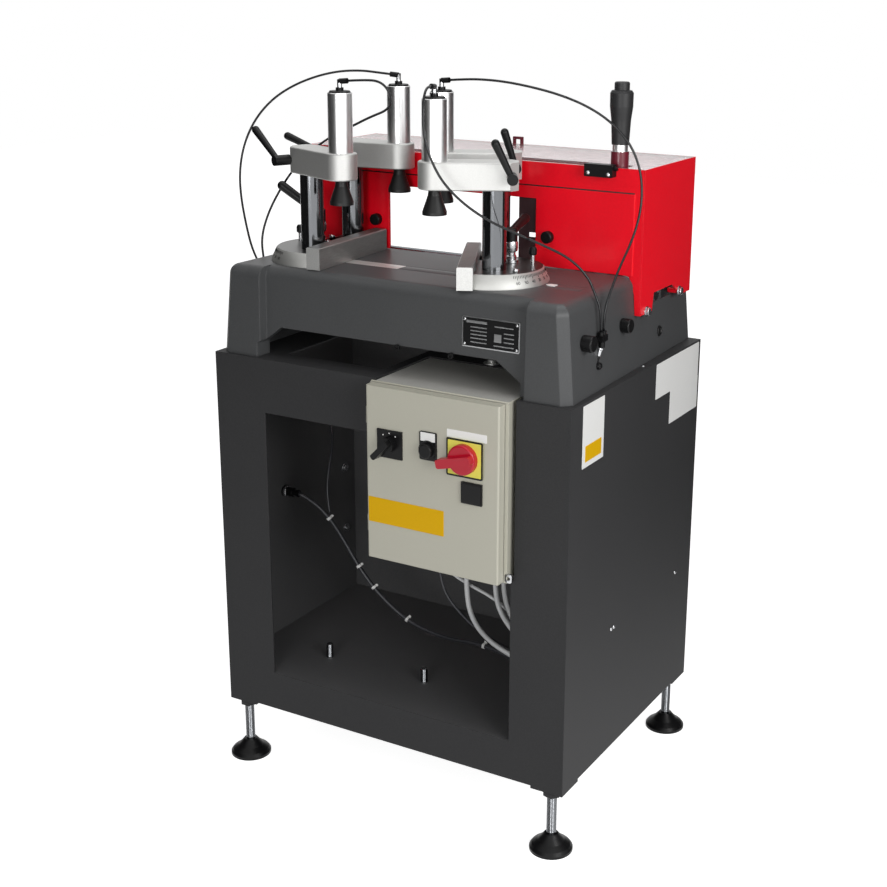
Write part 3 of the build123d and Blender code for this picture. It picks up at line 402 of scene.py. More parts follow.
class ENDMILL_OT_finishes(bpy.types.Operator):
    """Paints, plates and finishes every piece of the frame"""
    bl_idname = "endmill.finishes"
    bl_label = "Finishes"

    def execute(self, context):
        FINISHES.update(make_finishes(context.scene.endmill_colours))
        for finish, names in PLAIN.items():
            for name in names:
                dress(name, finish)
        # The inside of the cabinet takes the paler coat: painted light
        dress("cabinet", "cabinet", ("inner", inside_the_cabinet), ("zinc", on_a_stud))
        # The box's top takes the greyer enamel: painted shade
        box_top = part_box("box_body")[1].z - SKIN
        dress("box_body", "box", ("box_top", lambda p, n: p.z > box_top and n.z > LEVEL))
        dress("levelling_feet", "chrome", ("plastic", lambda p, n: p.z < PAD_TOP),
              ("cabinet", lambda p, n: p.z > NUT_LOW))
        for side in ("left", "right"):
            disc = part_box("turntable_" + side)[1].z
            # The disc's top takes the dark ground steel: painted shade
            dress("turntable_" + side, "turned", ("ground", looks_up))
            # The fence's top takes the darker milled steel: painted shade
            dress("fence_" + side, "milled", ("rubbed", looks_up))
            dress("lock_lever_" + side, "plastic", ("zinc", lambda p, n: p.z < disc + LOCK_BARE))
            dress("index_plunger_" + side, "plastic", ("zinc", lambda p, n: p.z < disc + PLUNGER_BARE))
        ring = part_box("lever_stem")[1].z - STEM_RING
        dress("lever_stem", "stem", ("tube", lambda p, n: p.z > ring))
        for arm in ARMS:
            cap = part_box("arm_" + arm)[1].z + CAP_OVER_ARM
            dress("cylinder_" + arm, "tube", ("plastic", lambda p, n: p.z >= cap - SAME),
                  ("zinc", lambda p, n: cap + CAP_BAND[0] < p.z < cap + CAP_BAND[1]))
            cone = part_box("clamp_foot_" + arm)[0].z + CONE_HEIGHT
            dress("clamp_foot_" + arm, "zinc", ("rubber", lambda p, n: p.z < cone))
        return {"FINISHED"}


# Hoses and cables: routes in metres from the cabinet's middle on the floor

# Each clamp hose has its arm, its station, the share of its line at which it is split in two, the share of
# its lower part that stays with the casting, and its route
CLAMP_HOSES = {
    "left_outer": ("lr", "left", 0.42, 0.42, [
        (-0.1372, -0.0205, 1.2623), (-0.1615, -0.0261, 1.2645), (-0.190, -0.031, 1.267),
        (-0.230, -0.042, 1.265), (-0.272, -0.054, 1.255), (-0.316, -0.066, 1.237), (-0.356, -0.076, 1.211),
        (-0.388, -0.086, 1.174), (-0.407, -0.096, 1.128), (-0.411, -0.105, 1.080), (-0.402, -0.114, 1.036),
        (-0.386, -0.123, 0.992), (-0.367, -0.133, 0.952), (-0.3385, -0.144, 0.920),
        (-0.3385, -0.144, 0.887)]),
    "left_inner": ("lf", "left", 0.55, 0.0, [
        (-0.1073, -0.1943, 1.2623), (-0.0845, -0.1923, 1.2643), (-0.046, -0.190, 1.265),
        (-0.030, -0.184, 1.245), (-0.038, -0.173, 1.219), (-0.087, -0.162, 1.202), (-0.130, -0.150, 1.184),
        (-0.168, -0.138, 1.170), (-0.212, -0.121, 1.150), (-0.256, -0.108, 1.124), (-0.294, -0.103, 1.092),
        (-0.322, -0.106, 1.054), (-0.343, -0.114, 1.012), (-0.352, -0.124, 0.968),
        (-0.3385, -0.134, 0.928), (-0.3385, -0.134, 0.887)]),
    "right_rear": ("rr", "right", 0.32, 0.60, [
        (0.0184, -0.0804, 1.2623), (0.0433, -0.0804, 1.2645), (0.076, -0.079, 1.266), (0.118, -0.074, 1.264),
        (0.164, -0.066, 1.257), (0.212, -0.056, 1.246), (0.258, -0.046, 1.229), (0.296, -0.036, 1.205),
        (0.326, -0.027, 1.172), (0.342, -0.021, 1.133), (0.348, -0.022, 1.092), (0.348, -0.032, 1.052),
        (0.344, -0.054, 1.014), (0.340, -0.084, 0.982), (0.339, -0.112, 0.950), (0.3385, -0.134, 0.920),
        (0.3385, -0.134, 0.887)]),
    "right_front": ("rf", "right", 0.66, 0.0, [
        (0.0665, -0.2150, 1.2623), (0.0718, -0.2363, 1.2642), (0.075, -0.252, 1.249), (0.078, -0.258, 1.230),
        (0.078, -0.259, 1.204), (0.083, -0.258, 1.176), (0.093, -0.254, 1.146), (0.109, -0.248, 1.117),
        (0.138, -0.239, 1.088), (0.174, -0.226, 1.063), (0.214, -0.206, 1.043), (0.256, -0.183, 1.023),
        (0.290, -0.164, 1.004), (0.316, -0.151, 0.976), (0.328, -0.146, 0.946), (0.3385, -0.144, 0.918),
        (0.3385, -0.144, 0.887)]),
}
AIR_TUBE = [
    (-0.315, -0.085, 0.474), (-0.293, -0.074, 0.462), (-0.260, -0.063, 0.430), (-0.232, -0.055, 0.385),
    (-0.204, -0.050, 0.337), (-0.170, -0.046, 0.295), (-0.135, -0.044, 0.267), (-0.098, -0.042, 0.244),
    (-0.052, -0.042, 0.231), (0.0, -0.045, 0.229), (0.054, -0.048, 0.236), (0.106, -0.052, 0.234),
    (0.158, -0.056, 0.222), (0.210, -0.060, 0.209), (0.258, -0.062, 0.202), (0.303, -0.062, 0.201),
    (0.347, -0.062, 0.201)]
AIR_BRANCH = [
    (-0.347, 0.020, 0.600), (-0.319, 0.020, 0.600), (-0.296, 0.004, 0.580), (-0.280, -0.020, 0.552),
    (-0.276, -0.040, 0.510), (-0.272, -0.052, 0.470), (-0.262, -0.057, 0.434)]
BOX_CABLES = {
    "front": [
        (0.176, -0.190, 0.489), (0.176, -0.190, 0.450), (0.176, -0.187, 0.410), (0.182, -0.179, 0.376),
        (0.200, -0.168, 0.342), (0.232, -0.160, 0.318), (0.287, -0.155, 0.304), (0.347, -0.155, 0.304)],
    "rear": [
        (0.182, -0.171, 0.489), (0.182, -0.171, 0.450), (0.181, -0.168, 0.412), (0.187, -0.160, 0.372),
        (0.205, -0.150, 0.334), (0.240, -0.144, 0.308), (0.291, -0.140, 0.298), (0.347, -0.140, 0.298)],
    "middle": [
        (0.113, -0.180, 0.489), (0.113, -0.180, 0.445), (0.113, -0.178, 0.404), (0.114, -0.171, 0.364),
        (0.124, -0.158, 0.326), (0.148, -0.145, 0.296), (0.192, -0.138, 0.276), (0.242, -0.134, 0.266),
        (0.294, -0.132, 0.262), (0.347, -0.132, 0.262)],
    "slim": [
        (0.052, -0.166, 0.489), (0.052, -0.166, 0.456), (0.072, -0.166, 0.424), (0.114, -0.165, 0.408),
        (0.158, -0.160, 0.392), (0.188, -0.148, 0.364), (0.212, -0.134, 0.328), (0.246, -0.124, 0.300),
        (0.296, -0.120, 0.286), (0.347, -0.120, 0.286)],
    "thin": [
        (0.064, -0.190, 0.489), (0.064, -0.190, 0.450), (0.067, -0.186, 0.414), (0.074, -0.180, 0.385),
        (0.092, -0.168, 0.354), (0.117, -0.150, 0.320), (0.146, -0.128, 0.292), (0.190, -0.114, 0.270),
        (0.240, -0.107, 0.257), (0.294, -0.106, 0.254), (0.347, -0.106, 0.254)],
}

# Where the ties sit on the air tube
TIES = ((-0.260, -0.063, 0.430), (-0.204, -0.050, 0.337), (-0.170, -0.046, 0.295), (-0.098, -0.042, 0.244),
        (0.075, -0.050, 0.235))
# The order of a line's spline and its steps from one control point to the next
LINE_ORDER = 3
LINE_STEPS = 8


def smooth_line(points):
    """Points along the NURBS spline whose control points are the route's, in the frame."""
    curve = bpy.data.curves.new("route", "CURVE")
    curve.dimensions = "3D"
    spline = curve.splines.new("NURBS")
    spline.points.add(len(points) - 1)
    for point, (x, y, z) in zip(spline.points, points):
        point.co = (x, y + CABINET_MIDDLE_Y, z, 1.0)
    spline.order_u = LINE_ORDER
    spline.use_endpoint_u = True
    spline.resolution_u = LINE_STEPS
    holder = bpy.data.objects.new("route", curve)
    bpy.context.scene.collection.objects.link(holder)
    bpy.context.view_layer.update()
    evaluated = holder.evaluated_get(bpy.context.evaluated_depsgraph_get())
    mesh = bpy.data.meshes.new_from_object(evaluated)
    line = [v.co.copy() for v in mesh.vertices]
    bpy.data.objects.remove(holder)
    bpy.data.curves.remove(curve)
    bpy.data.meshes.remove(mesh)
    return line


def made_of(mesh, name):
    """A new object of a bmesh, which is freed."""
    data = bpy.data.meshes.new(name)
    mesh.to_mesh(data)
    mesh.free()
    obj = bpy.data.objects.new(name, data)
    bpy.context.scene.collection.objects.link(obj)
    return obj


def tube(name, line, diameter, sides):
    """A closed round tube along a line of points, its rings turned as little as the line lets them."""
    mesh = bmesh.new()
    rings = []
    along = (line[1] - line[0]).normalized()
    across = along.orthogonal().normalized()
    for i, point in enumerate(line):
        ahead = (line[min(i + 1, len(line) - 1)] - line[max(i - 1, 0)]).normalized()
        across = (across - ahead * across.dot(ahead)).normalized()
        other = ahead.cross(across)
        ring = []
        for k in range(sides):
            turn = 2 * math.pi * k / sides
            out = across * math.cos(turn) + other * math.sin(turn)
            ring.append(mesh.verts.new(point + out * diameter / 2))
        rings.append(ring)
    for low, high in zip(rings, rings[1:]):
        for k in range(sides):
            mesh.faces.new((low[k], low[(k + 1) % sides], high[(k + 1) % sides], high[k]))
    mesh.faces.new(reversed(rings[0]))
    mesh.faces.new(rings[-1])
    for face in mesh.faces:
        face.smooth = len(face.verts) == 4
    return made_of(mesh, name)


class ENDMILL_OT_clamp_hoses(bpy.types.Operator):
    """Runs a hose from each clamp cylinder to its splitter, in an upper and a lower part"""
    bl_idname = "endmill.clamp_hoses"
    bl_label = "Clamp hoses"

    def execute(self, context):
        sizes = context.scene.endmill_sizes
        for name, (arm, side, share, hold, route) in CLAMP_HOSES.items():
            line = smooth_line(route)
            cut = int(share * len(line))
            upper = line[:cut + 1]
            lower = line[:cut - 1:-1]
            top = tube("hose_" + name + "_upper", upper, sizes.hose, sizes.tube_sides)
            low = tube("hose_" + name + "_lower", lower, sizes.hose, sizes.tube_sides)
            for obj, part in ((top, upper), (low, lower)):
                obj.data.materials.append(FINISHES["hose"])
            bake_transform(top)
            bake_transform(low)
            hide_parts(side + "_hoses")
        return {"FINISHED"}


class ENDMILL_OT_cabinet_lines(bpy.types.Operator):
    """Lays the air tube, its branch and the cables under the control box"""
    bl_idname = "endmill.cabinet_lines"
    bl_label = "Cabinet lines"

    def execute(self, context):
        sizes = context.scene.endmill_sizes
        self.lay(sizes, "air_tube_main", AIR_TUBE, sizes.air_tube, "air_tube", "hose_plastic", "air_tube")
        self.lay(sizes, "air_tube_branch", AIR_BRANCH, sizes.branch, "air_tube", "hose_plastic")
        diameters = {"slim": sizes.slim_cable, "thin": sizes.thin_cable}
        for name, route in BOX_CABLES.items():
            finish = "air_tube" if name == "thin" else "cable"
            stands_for = "box_cables" if name == "front" else None
            self.lay(sizes, "box_cable_" + name, route, diameters.get(name, sizes.cable), finish,
                     "cable_plastic", stands_for)
        return {"FINISHED"}

    def lay(self, sizes, name, route, diameter, finish, slot, stands_for=None):
        line = smooth_line(route)
        obj = tube(name, line, diameter, sizes.tube_sides)
        obj.data.materials.append(FINISHES[finish])
        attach(obj, "base")
        if stands_for:
            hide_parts(stands_for)


# Modelling


def clear():
    """Leaves edit mode and selects nothing."""
    if bpy.context.object and bpy.context.object.mode != "OBJECT":
        bpy.ops.object.mode_set(mode="OBJECT")
    bpy.ops.object.select_all(action="DESELECT")


def choose(obj):
    clear()
    obj.select_set(True)
    bpy.context.view_layer.objects.active = obj


def edit(obj, faces=None, edges=None):
    """Opens a piece for editing with the faces, or the edges, that pass a test selected."""
    choose(obj)
    bpy.ops.object.mode_set(mode="EDIT")
    bpy.ops.mesh.select_mode(type="EDGE" if edges else "FACE")
    bpy.ops.mesh.select_all(action="DESELECT")
    mesh = bmesh.from_edit_mesh(obj.data)
    for part in mesh.edges if edges else mesh.faces:
        if (edges or faces)(part):
            part.select_set(True)
    mesh.select_flush_mode()
    bmesh.update_edit_mesh(obj.data)


def every(face):
    return True


def faces_up(face):
    return face.normal.z > LEVEL


def upright(edge):
    return abs(edge.verts[0].co.z - edge.verts[1].co.z) > TINY


def drum(radius, low, high, sides):
    """A round or many-sided blank standing from low to high on the Z axis."""
    clear()
    bpy.ops.mesh.primitive_cylinder_add(vertices=sides, radius=radius, depth=high - low,
                                        location=(0, 0, (low + high) / 2))
    bpy.ops.object.transform_apply(location=True, rotation=True, scale=True)
    return bpy.context.object


def slab(width, depth, low, high):
    """A square blank on the Z axis."""
    clear()
    bpy.ops.mesh.primitive_cube_add(size=1.0, location=(0, 0, (low + high) / 2),
                                    scale=(width, depth, high - low))
    bpy.ops.object.transform_apply(location=True, rotation=True, scale=True)
    return bpy.context.object


def turned(profile, sides, pitch=0.0, turns=1):
    """A lathe-turned piece: (radius, height) points spun round Z, or wound up it by a thread's pitch."""
    clear()
    mesh = bmesh.new()
    points = [mesh.verts.new((radius, 0.0, height)) for radius, height in profile]
    for low, high in zip(points, points[1:]):
        mesh.edges.new((low, high))
    obj = made_of(mesh, "turned")
    spin = obj.modifiers.new("spin", "SCREW")
    spin.steps = sides
    spin.render_steps = sides
    if pitch:
        spin.screw_offset = pitch
        spin.iterations = turns
    else:
        spin.use_merge_vertices = True
        spin.merge_threshold = TINY
    choose(obj)
    bpy.ops.object.modifier_apply(modifier="spin")
    edit(obj, faces=every)
    bpy.ops.mesh.normals_make_consistent(inside=False)
    clear()
    return obj


def soften(obj, width, segments=2):
    """Rounds every sharp edge of a piece."""
    choose(obj)
    rounding = obj.modifiers.new("rounding", "BEVEL")
    rounding.width = width
    rounding.segments = segments
    rounding.limit_method = "ANGLE"
    rounding.angle_limit = math.radians(ROUND_FROM)
    bpy.ops.object.modifier_apply(modifier="rounding")
    clear()
    return obj


def bevelled(obj, edges, offset, segments):
    """Cuts the edges that pass a test."""
    edit(obj, edges=edges)
    bpy.ops.mesh.bevel(offset=offset, segments=segments)
    clear()
    return obj


def bore(obj, cutter):
    """Cuts one piece out of another and drops the cutter."""
    choose(obj)
    cut = obj.modifiers.new("cut", "BOOLEAN")
    cut.operation = "DIFFERENCE"
    cut.object = cutter
    bpy.ops.object.modifier_apply(modifier="cut")
    clear()
    bpy.data.objects.remove(cutter)


def join(first, *others):
    choose(first)
    for obj in others:
        obj.select_set(True)
    bpy.ops.object.join()
    clear()
    return first


def moved(obj, x, y):
    """Moves a piece's mesh sideways, in metres."""
    obj.data.transform(Matrix.Translation((x, y, 0.0)))
    return obj


def coat(obj, *finishes):
    """Gives a piece its finishes and smooths its round faces."""
    choose(obj)
    obj.data.materials.clear()
    for finish in finishes:
        obj.data.materials.append(FINISHES[finish])
    bpy.ops.object.shade_smooth_by_angle(angle=math.radians(SMOOTH_TO))
    clear()
    return obj


def seat(place, out=UP, up=UP, spin=0.0):
    """Where a piece modelled on z = 0 sits: in mm from the cabinet's middle, +Z along out, +Y to up."""
    z = Vector(out).normalized()
    x = Vector(up).cross(z)
    if x.length < TINY:
        x = Vector(RIGHT)
    x.normalize()
    turn = Matrix((x, z.cross(x), z)).transposed().to_4x4()
    where = Vector(place) * MM + Vector((0.0, CABINET_MIDDLE_Y, 0.0))
    return Matrix.Translation(where) @ turn @ Matrix.Rotation(math.radians(spin), 4, "Z")


def put(obj, name, where, body="base"):
    """Moves a finished piece's mesh to its seat and lets it ride there."""
    obj.data.transform(where)
    obj.name = name
    obj.data.name = name
    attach(obj, body)
    return obj


def spread(master, name, seats, slot, body="base"):
    """Copies a piece to each seat, every copy with a mesh of its own, and drops the first one."""
    for number, where in enumerate(seats, 1):
        copy = bpy.data.objects.new(name, master.data.copy())
        bpy.context.scene.collection.objects.link(copy)
        put(copy, "%s_%d" % (name, number), where, body)
    bpy.data.objects.remove(master)


# Each station's pivot in mm from the cabinet's middle, its turn in degrees and its hand
STATIONS = {"left": (-209.0, -124.0, 3.4, -1), "right": (128.0, -124.0, 26.3, 1)}
TABLE_TOP = 947.0
DISC_TOP = 970.0
# Where the lock lever stands on a station's own plan
LOCK = (29.0, 27.0)


def on_station(side, u, v, z):
    """A point of a station's own plan, in mm from the cabinet's middle."""
    x, y, turn, hand = STATIONS[side]
    c = math.cos(math.radians(turn))
    s = math.sin(math.radians(turn))
    return (x + hand * u * c - v * s, y + hand * u * s + v * c, z)


# A washer's thickness in metres; a hexagon head's height, chamfer (width and rise) and rounding by its flats
WASHER = 0.0016
HEX_HEIGHT = 0.36
HEX_CHAMFER = (0.09, 0.05)
HEX_ROUNDING = 0.02
# A socket head's height, rim, depth of socket and rounding, by its diameter
CAP_HEIGHT = 0.52
CAP_RIM = 0.24
CAP_SOCKET = 0.3
CAP_ROUNDING = 0.05
# A low round head's crown, profile (radius, height), and its recess's rim and depth, by its diameter
FLAT_CROWN = 0.14
FLAT_HEAD = ((0.0, 0.26), (0.22, 0.24), (0.42, FLAT_CROWN), (0.5, 0.0), (0.0, 0.0))
FLAT_RIM = 0.03
FLAT_RECESS = 0.12
# A rivet head's height by its radius
RIVET_RISE = 0.55
# A thread's pitch and depth in metres, and where its crest begins and ends by the pitch
PITCH = 0.0025
THREAD_DEPTH = 0.0008
CREST = (0.45, 0.55)
# The steps of a plate's round corners, and the rise of its field by its thickness
CORNER_STEPS = 4
FIELD_RISE = 0.15


def hexagon(flats, low, high):
    """A six-sided blank by its width across the flats."""
    return drum(flats / math.sqrt(3), low, high, 6)


def hex_bolt(flats, washer, finish="zinc"):
    """A hexagon head with a chamfered top on a plain washer."""
    ring = soften(drum(washer / 2, 0.0, WASHER, 28), EDGE)
    head = hexagon(flats, WASHER, WASHER + flats * HEX_HEIGHT)
    edit(head, faces=faces_up)
    width, rise = HEX_CHAMFER
    bpy.ops.mesh.inset(thickness=flats * width, depth=flats * rise)
    clear()
    soften(head, flats * HEX_ROUNDING, 1)
    return coat(join(head, ring), finish)


def sink(depth):
    """Pushes the selected faces down."""
    bpy.ops.mesh.extrude_region_move(TRANSFORM_OT_translate={"value": (0, 0, -depth)})
    clear()


def cap_screw(diameter, finish="zinc"):
    """A cylinder head with its socket."""
    head = drum(diameter / 2, 0.0, diameter * CAP_HEIGHT, 24)
    edit(head, faces=faces_up)
    bpy.ops.mesh.inset(thickness=diameter * CAP_RIM)
    sink(diameter * CAP_SOCKET)
    return coat(soften(head, diameter * CAP_ROUNDING), finish)


def flat_screw(diameter):
    """A low round head with a recess sunk into its crown."""
    crown = diameter * FLAT_CROWN
    head = turned([(diameter * radius, diameter * height) for radius, height in FLAT_HEAD], 20)
    edit(head, faces=lambda face: face.calc_center_median().to_2d().length < crown and face.normal.z > 0.5)
    bpy.ops.mesh.inset(thickness=diameter * FLAT_RIM)
    sink(diameter * FLAT_RECESS)
    return coat(head, "zinc")


def rivet(diameter):
    """A domed blind-rivet head."""
    clear()
    bpy.ops.mesh.primitive_uv_sphere_add(segments=16, ring_count=10, radius=diameter / 2)
    head = bpy.context.object
    edit(head, faces=every)
    bpy.ops.mesh.bisect(plane_co=(0, 0, 0), plane_no=(0, 0, 1), use_fill=True, clear_inner=True)
    bpy.ops.mesh.select_all(action="SELECT")
    bpy.ops.transform.resize(value=(1.0, 1.0, RIVET_RISE))
    clear()
    return coat(head, "plate")


def thread(rod, low, turns):
    """A screw thread wound round a rod on the Z axis, from low upwards."""
    crest = rod + THREAD_DEPTH
    start, end = CREST
    ridge = [(rod, low), (crest, low + PITCH * start), (crest, low + PITCH * end), (rod, low + PITCH)]
    return coat(turned(ridge, 16, PITCH, turns), "chrome")


def plate(width, height, thick, corner, rim, *finishes):
    """A bare plate with rounded corners; its field inside the rim has the second finish."""
    body = bevelled(slab(width, height, 0.0, thick), upright, corner, CORNER_STEPS)
    edit(body, faces=faces_up)
    bpy.ops.mesh.inset(thickness=rim, depth=thick * FIELD_RISE)
    clear()
    coat(body, *finishes)
    body.data.shade_flat()
    for face in body.data.polygons:
        inside = abs(face.center.x) < width / 2 - rim and abs(face.center.y) < height / 2 - rim
        if face.normal.z > LEVEL and inside:
            face.material_index = 1
    return body


# Seats of the fasteners in mm from the cabinet's middle, the way each faces and a hexagon's turn in degrees
HEX_BOLTS = (
    ((337.0, 38.0, 885.0), RIGHT, 12), ((337.0, 180.0, 895.0), RIGHT, 40),
    ((-337.0, 38.0, 885.0), LEFT, 12), ((-337.0, 180.0, 895.0), LEFT, 40),
    ((-347.0, 113.0, 463.0), RIGHT, 20), ((-347.0, 115.0, 332.0), RIGHT, 5),
)
CASTING_SCREWS = ((16.0, -240.2, 840.0), (119.0, -240.2, 840.0))
SMALL_SCREWS = (
    ((240.0, -4.0, 1117.0), FRONT), ((277.0, -4.0, 1116.0), FRONT), ((338.0, 31.0, 790.0), UP),
    ((350.0, -90.0, 351.0), RIGHT), ((350.0, -79.0, 351.0), RIGHT), ((350.0, 194.0, 353.0), RIGHT),
)
DISC_SCREWS = {"left": ((7, 19), (29, 68)), "right": ((41, -57), (32, 53))}
CARRIAGE_SCREWS = [(x, y, 930.0) for x in (145.0, 283.0) for y in (45.0, 207.0)]
TABLE_BOLT = (107.0, -85.0, 790.0)
TABLE_BOLT_TURN = 25
FEET = [(x, y, 0.0) for x in (-322.0, 322.0) for y in (-247.0, 247.0)]
# In metres: the washers of the hexagon bolts, the small screws' heads, and the table bolt's flats and washer
BOLT_WASHER = 0.018
SMALL_HEAD = 0.007
TABLE_BOLT_SIZE = (0.015, 0.030)
# Threads of the studs and the feet: the rod's radius and the thread's start in metres, and its turns
STUD_THREAD = (0.006, 0.0005, 10)
FOOT_THREAD = (0.008, 0.0305, 28)
# A foot's nut in metres: its flats, low and high, and the inset of its faces
FOOT_NUT = (0.0277, 0.1029, 0.1148)
FOOT_NUT_INSET = (0.0012, 0.0004)


class ENDMILL_OT_fasteners(bpy.types.Operator):
    """Sets the bolts, screws and studs that show on the cabinet, the casting, the guard and the stations"""
    bl_idname = "endmill.fasteners"
    bl_label = "Fasteners"

    def execute(self, context):
        sizes = context.scene.endmill_sizes
        bolts = [seat(place, out, spin=turn) for place, out, turn in HEX_BOLTS]
        spread(hex_bolt(sizes.hex_head, BOLT_WASHER), "hex_bolt", bolts, "steel")
        screws = [seat(place, CASTING_FRONT) for place in CASTING_SCREWS]
        spread(cap_screw(sizes.cap_head, "plastic"), "cap_screw", screws, "black_plastic")
        small = [seat(place, out) for place, out in SMALL_SCREWS]
        spread(flat_screw(SMALL_HEAD), "small_screw", small, "steel")
        for side, spots in DISC_SCREWS.items():
            seats = [seat(on_station(side, u, v, DISC_TOP)) for u, v in spots]
            spread(cap_screw(sizes.cap_head), "disc_screw_" + side, seats, "steel", "station_" + side)
        plate_top = [seat(place) for place in CARRIAGE_SCREWS]
        spread(cap_screw(sizes.cap_head), "carriage_screw", plate_top, "steel", "slide_unit")
        # The table bolt under the casting's overhang takes the paler bright steel: painted light against the
        # shade there
        table_bolt = hex_bolt(*TABLE_BOLT_SIZE, "bright")
        put(table_bolt, "table_bolt", seat(TABLE_BOLT, spin=TABLE_BOLT_TURN))
        studs = [seat((x / MM, y / MM, CABINET_FLOOR / MM)) for x, y in STUDS]
        spread(thread(*STUD_THREAD), "stud_thread", studs, "steel")
        return {"FINISHED"}


class ENDMILL_OT_feet(bpy.types.Operator):
    """Turns the threads and sets the hexagon nuts of the levelling feet"""
    bl_idname = "endmill.feet"
    bl_label = "Feet"

    def execute(self, context):
        nut = hexagon(*FOOT_NUT)
        edit(nut, faces=lambda face: abs(face.normal.z) > LEVEL)
        width, rise = FOOT_NUT_INSET
        bpy.ops.mesh.inset(thickness=width, depth=rise, use_individual=True)
        clear()
        soften(nut, EDGE, 1)
        spread(coat(nut, "cabinet"), "foot_nut", [seat(p, spin=p[0] + p[1]) for p in FEET], "steel")
        spread(thread(*FOOT_THREAD), "foot_thread", [seat(p) for p in FEET], "steel")
        return {"FINISHED"}


# The data plate's middle in mm, its rivets from there, and its blank fields: middle, width and height
DATA_PLATE = (191.0, -239.3, 884.0)
RIVETS = [(x, z) for x in (-47.5, 47.5) for z in (-20, 20)]
FIELDS = (
    (-26.0, 17.0, 38.0, 4.0), (-22.0, 8.5, 30.0, 1.6), (-22.0, 2.5, 30.0, 1.6), (-22.0, -3.5, 30.0, 1.6),
    (-22.0, -9.5, 30.0, 1.6), (-22.0, -16.0, 30.0, 1.6), (24.0, 13.5, 34.0, 1.6), (13.0, -5.0, 13.0, 13.0),
    (33.0, 4.0, 18.0, 1.6), (33.0, -3.0, 18.0, 1.6), (33.0, -10.0, 18.0, 1.6), (24.0, -17.5, 36.0, 1.6),
)
RIVET_DEPTH = -240.2
FIELD_DEPTH = -240.25
# In metres: the data plate's width and height, its corner and rim, a field's thickness, corner and rim,
# and a rivet's head
DATA_PLATE_SIZE = (0.105, 0.050)
DATA_PLATE_EDGE = (0.002, 0.0018)
FIELD_EDGE = (0.0002, 0.0003, 0.0002)
RIVET_HEAD = 0.005
# The door's face and the cabinet's right side, in mm, and a label's thickness in metres
DOOR = -306.0
SIDE = 350.0
LABEL = 0.0004
# Bare plates and labels: width, height, thickness, corner and rim in metres, their finish and middle in mm
DOOR_PLATES = {
    "door_panel": (0.146, 0.044, LABEL, 0.001, 0.0012, "plate_yellow", (71.0, DOOR, 575.5)),
    "door_strip": (0.073, 0.0135, LABEL, 0.001, 0.0008, "white", (186.5, DOOR, 732.3)),
    "main_switch_face": (0.067, 0.063, 0.00025, 0.003, 0.003, "plastic", (184.6, DOOR - 4.02, 694.9)),
    "button_holder": (0.032, 0.048, 0.0025, 0.003, 0.0015, "plastic", (115.5, DOOR, 704.0)),
    "button_legend": (0.027, 0.0145, 0.0006, 0.0008, 0.0008, "white", (115.8, DOOR - 2.9, 719.5)),
    "square_plate": (0.036, 0.034, 0.0008, 0.003, 0.0025, "plastic", (197.0, DOOR - 4.0, 638.0)),
}
SIDE_PLATES = {
    "side_plate": (0.078, 0.104, LABEL, 0.0015, 0.001, "white", (SIDE, -186.0, 733.0)),
    "side_plate_field": (0.059, 0.027, LABEL, 0.001, 0.0008, "plate_yellow", (SIDE + 0.45, -185.5, 703.5)),
    "side_plate_wide": (0.195, 0.063, LABEL, 0.0015, 0.001, "white", (SIDE, 160.5, 755.5)),
    "side_plate_lower": (0.130, 0.061, LABEL, 0.0015, 0.001, "white", (SIDE, 194.0, 693.4)),
}
# What a plate of each finish is made of, and the plates whose field has another finish than their rim
FIELD_FINISH = {"main_switch_face": "yellow"}
# The hole for the push button: its radius, low, high and sides, and its middle on the holder, in metres
BUTTON_HOLE = (0.0127, -0.001, 0.004, 48)
BUTTON_HOLE_AT = (0.0005, -0.006)
# The selector's dots: their profile in metres, their circle's middle and radius in mm, and their angles
DOT = [(0.0, 0.0), (0.0012, 0.0), (0.0011, 0.0003), (0.0, 0.0003)]
SELECTOR = (42.0, DOOR - 3.02, 695.0)
DOT_CIRCLE = 19.0
DOT_ANGLES = (0.9, 1.57, 2.24)


class ENDMILL_OT_plates(bpy.types.Operator):
    """Fixes the bare plates and labels, with nothing written on them"""
    bl_idname = "endmill.plates"
    bl_label = "Plates"

    def execute(self, context):
        thick = context.scene.endmill_sizes.plate
        data = plate(*DATA_PLATE_SIZE, thick, *DATA_PLATE_EDGE, "plate", "plastic")
        put(data, "data_plate", seat(DATA_PLATE, CASTING_FRONT))
        corners = [self.on_data_plate(x, z, RIVET_DEPTH) for x, z in RIVETS]
        spread(rivet(RIVET_HEAD), "plate_rivet", corners, "steel")
        for number, (x, z, wide, tall) in enumerate(FIELDS, 1):
            field = plate(wide * MM, tall * MM, *FIELD_EDGE, "plate", "plate")
            put(field, "plate_field_%d" % number, self.on_data_plate(x, z, FIELD_DEPTH))
        self.fix(DOOR_PLATES, FRONT, "door")
        x, y, z = SELECTOR
        dots = [seat((x + DOT_CIRCLE * math.cos(a), y, z + DOT_CIRCLE * math.sin(a)), FRONT)
                for a in DOT_ANGLES]
        spread(coat(turned(DOT, 16), "white"), "selector_dot", dots, "cable_plastic", "door")
        self.fix(SIDE_PLATES, RIGHT, "base")
        return {"FINISHED"}

    def fix(self, plates, out, body):
        """Makes the plates of a table and fixes them to a body's face."""
        for name, (*form, finish, place) in plates.items():
            piece = plate(*form, finish, FIELD_FINISH.get(name, finish))
            if name == "button_holder":
                bore(piece, moved(drum(*BUTTON_HOLE), *BUTTON_HOLE_AT))
            put(piece, name, seat(place, out), body)

    def on_data_plate(self, x, z, depth):
        """The seat of a piece on the data plate, which leans as the casting does."""
        return seat((DATA_PLATE[0] + x, depth + z * PLATE_LEAN, DATA_PLATE[2] + z), CASTING_FRONT)


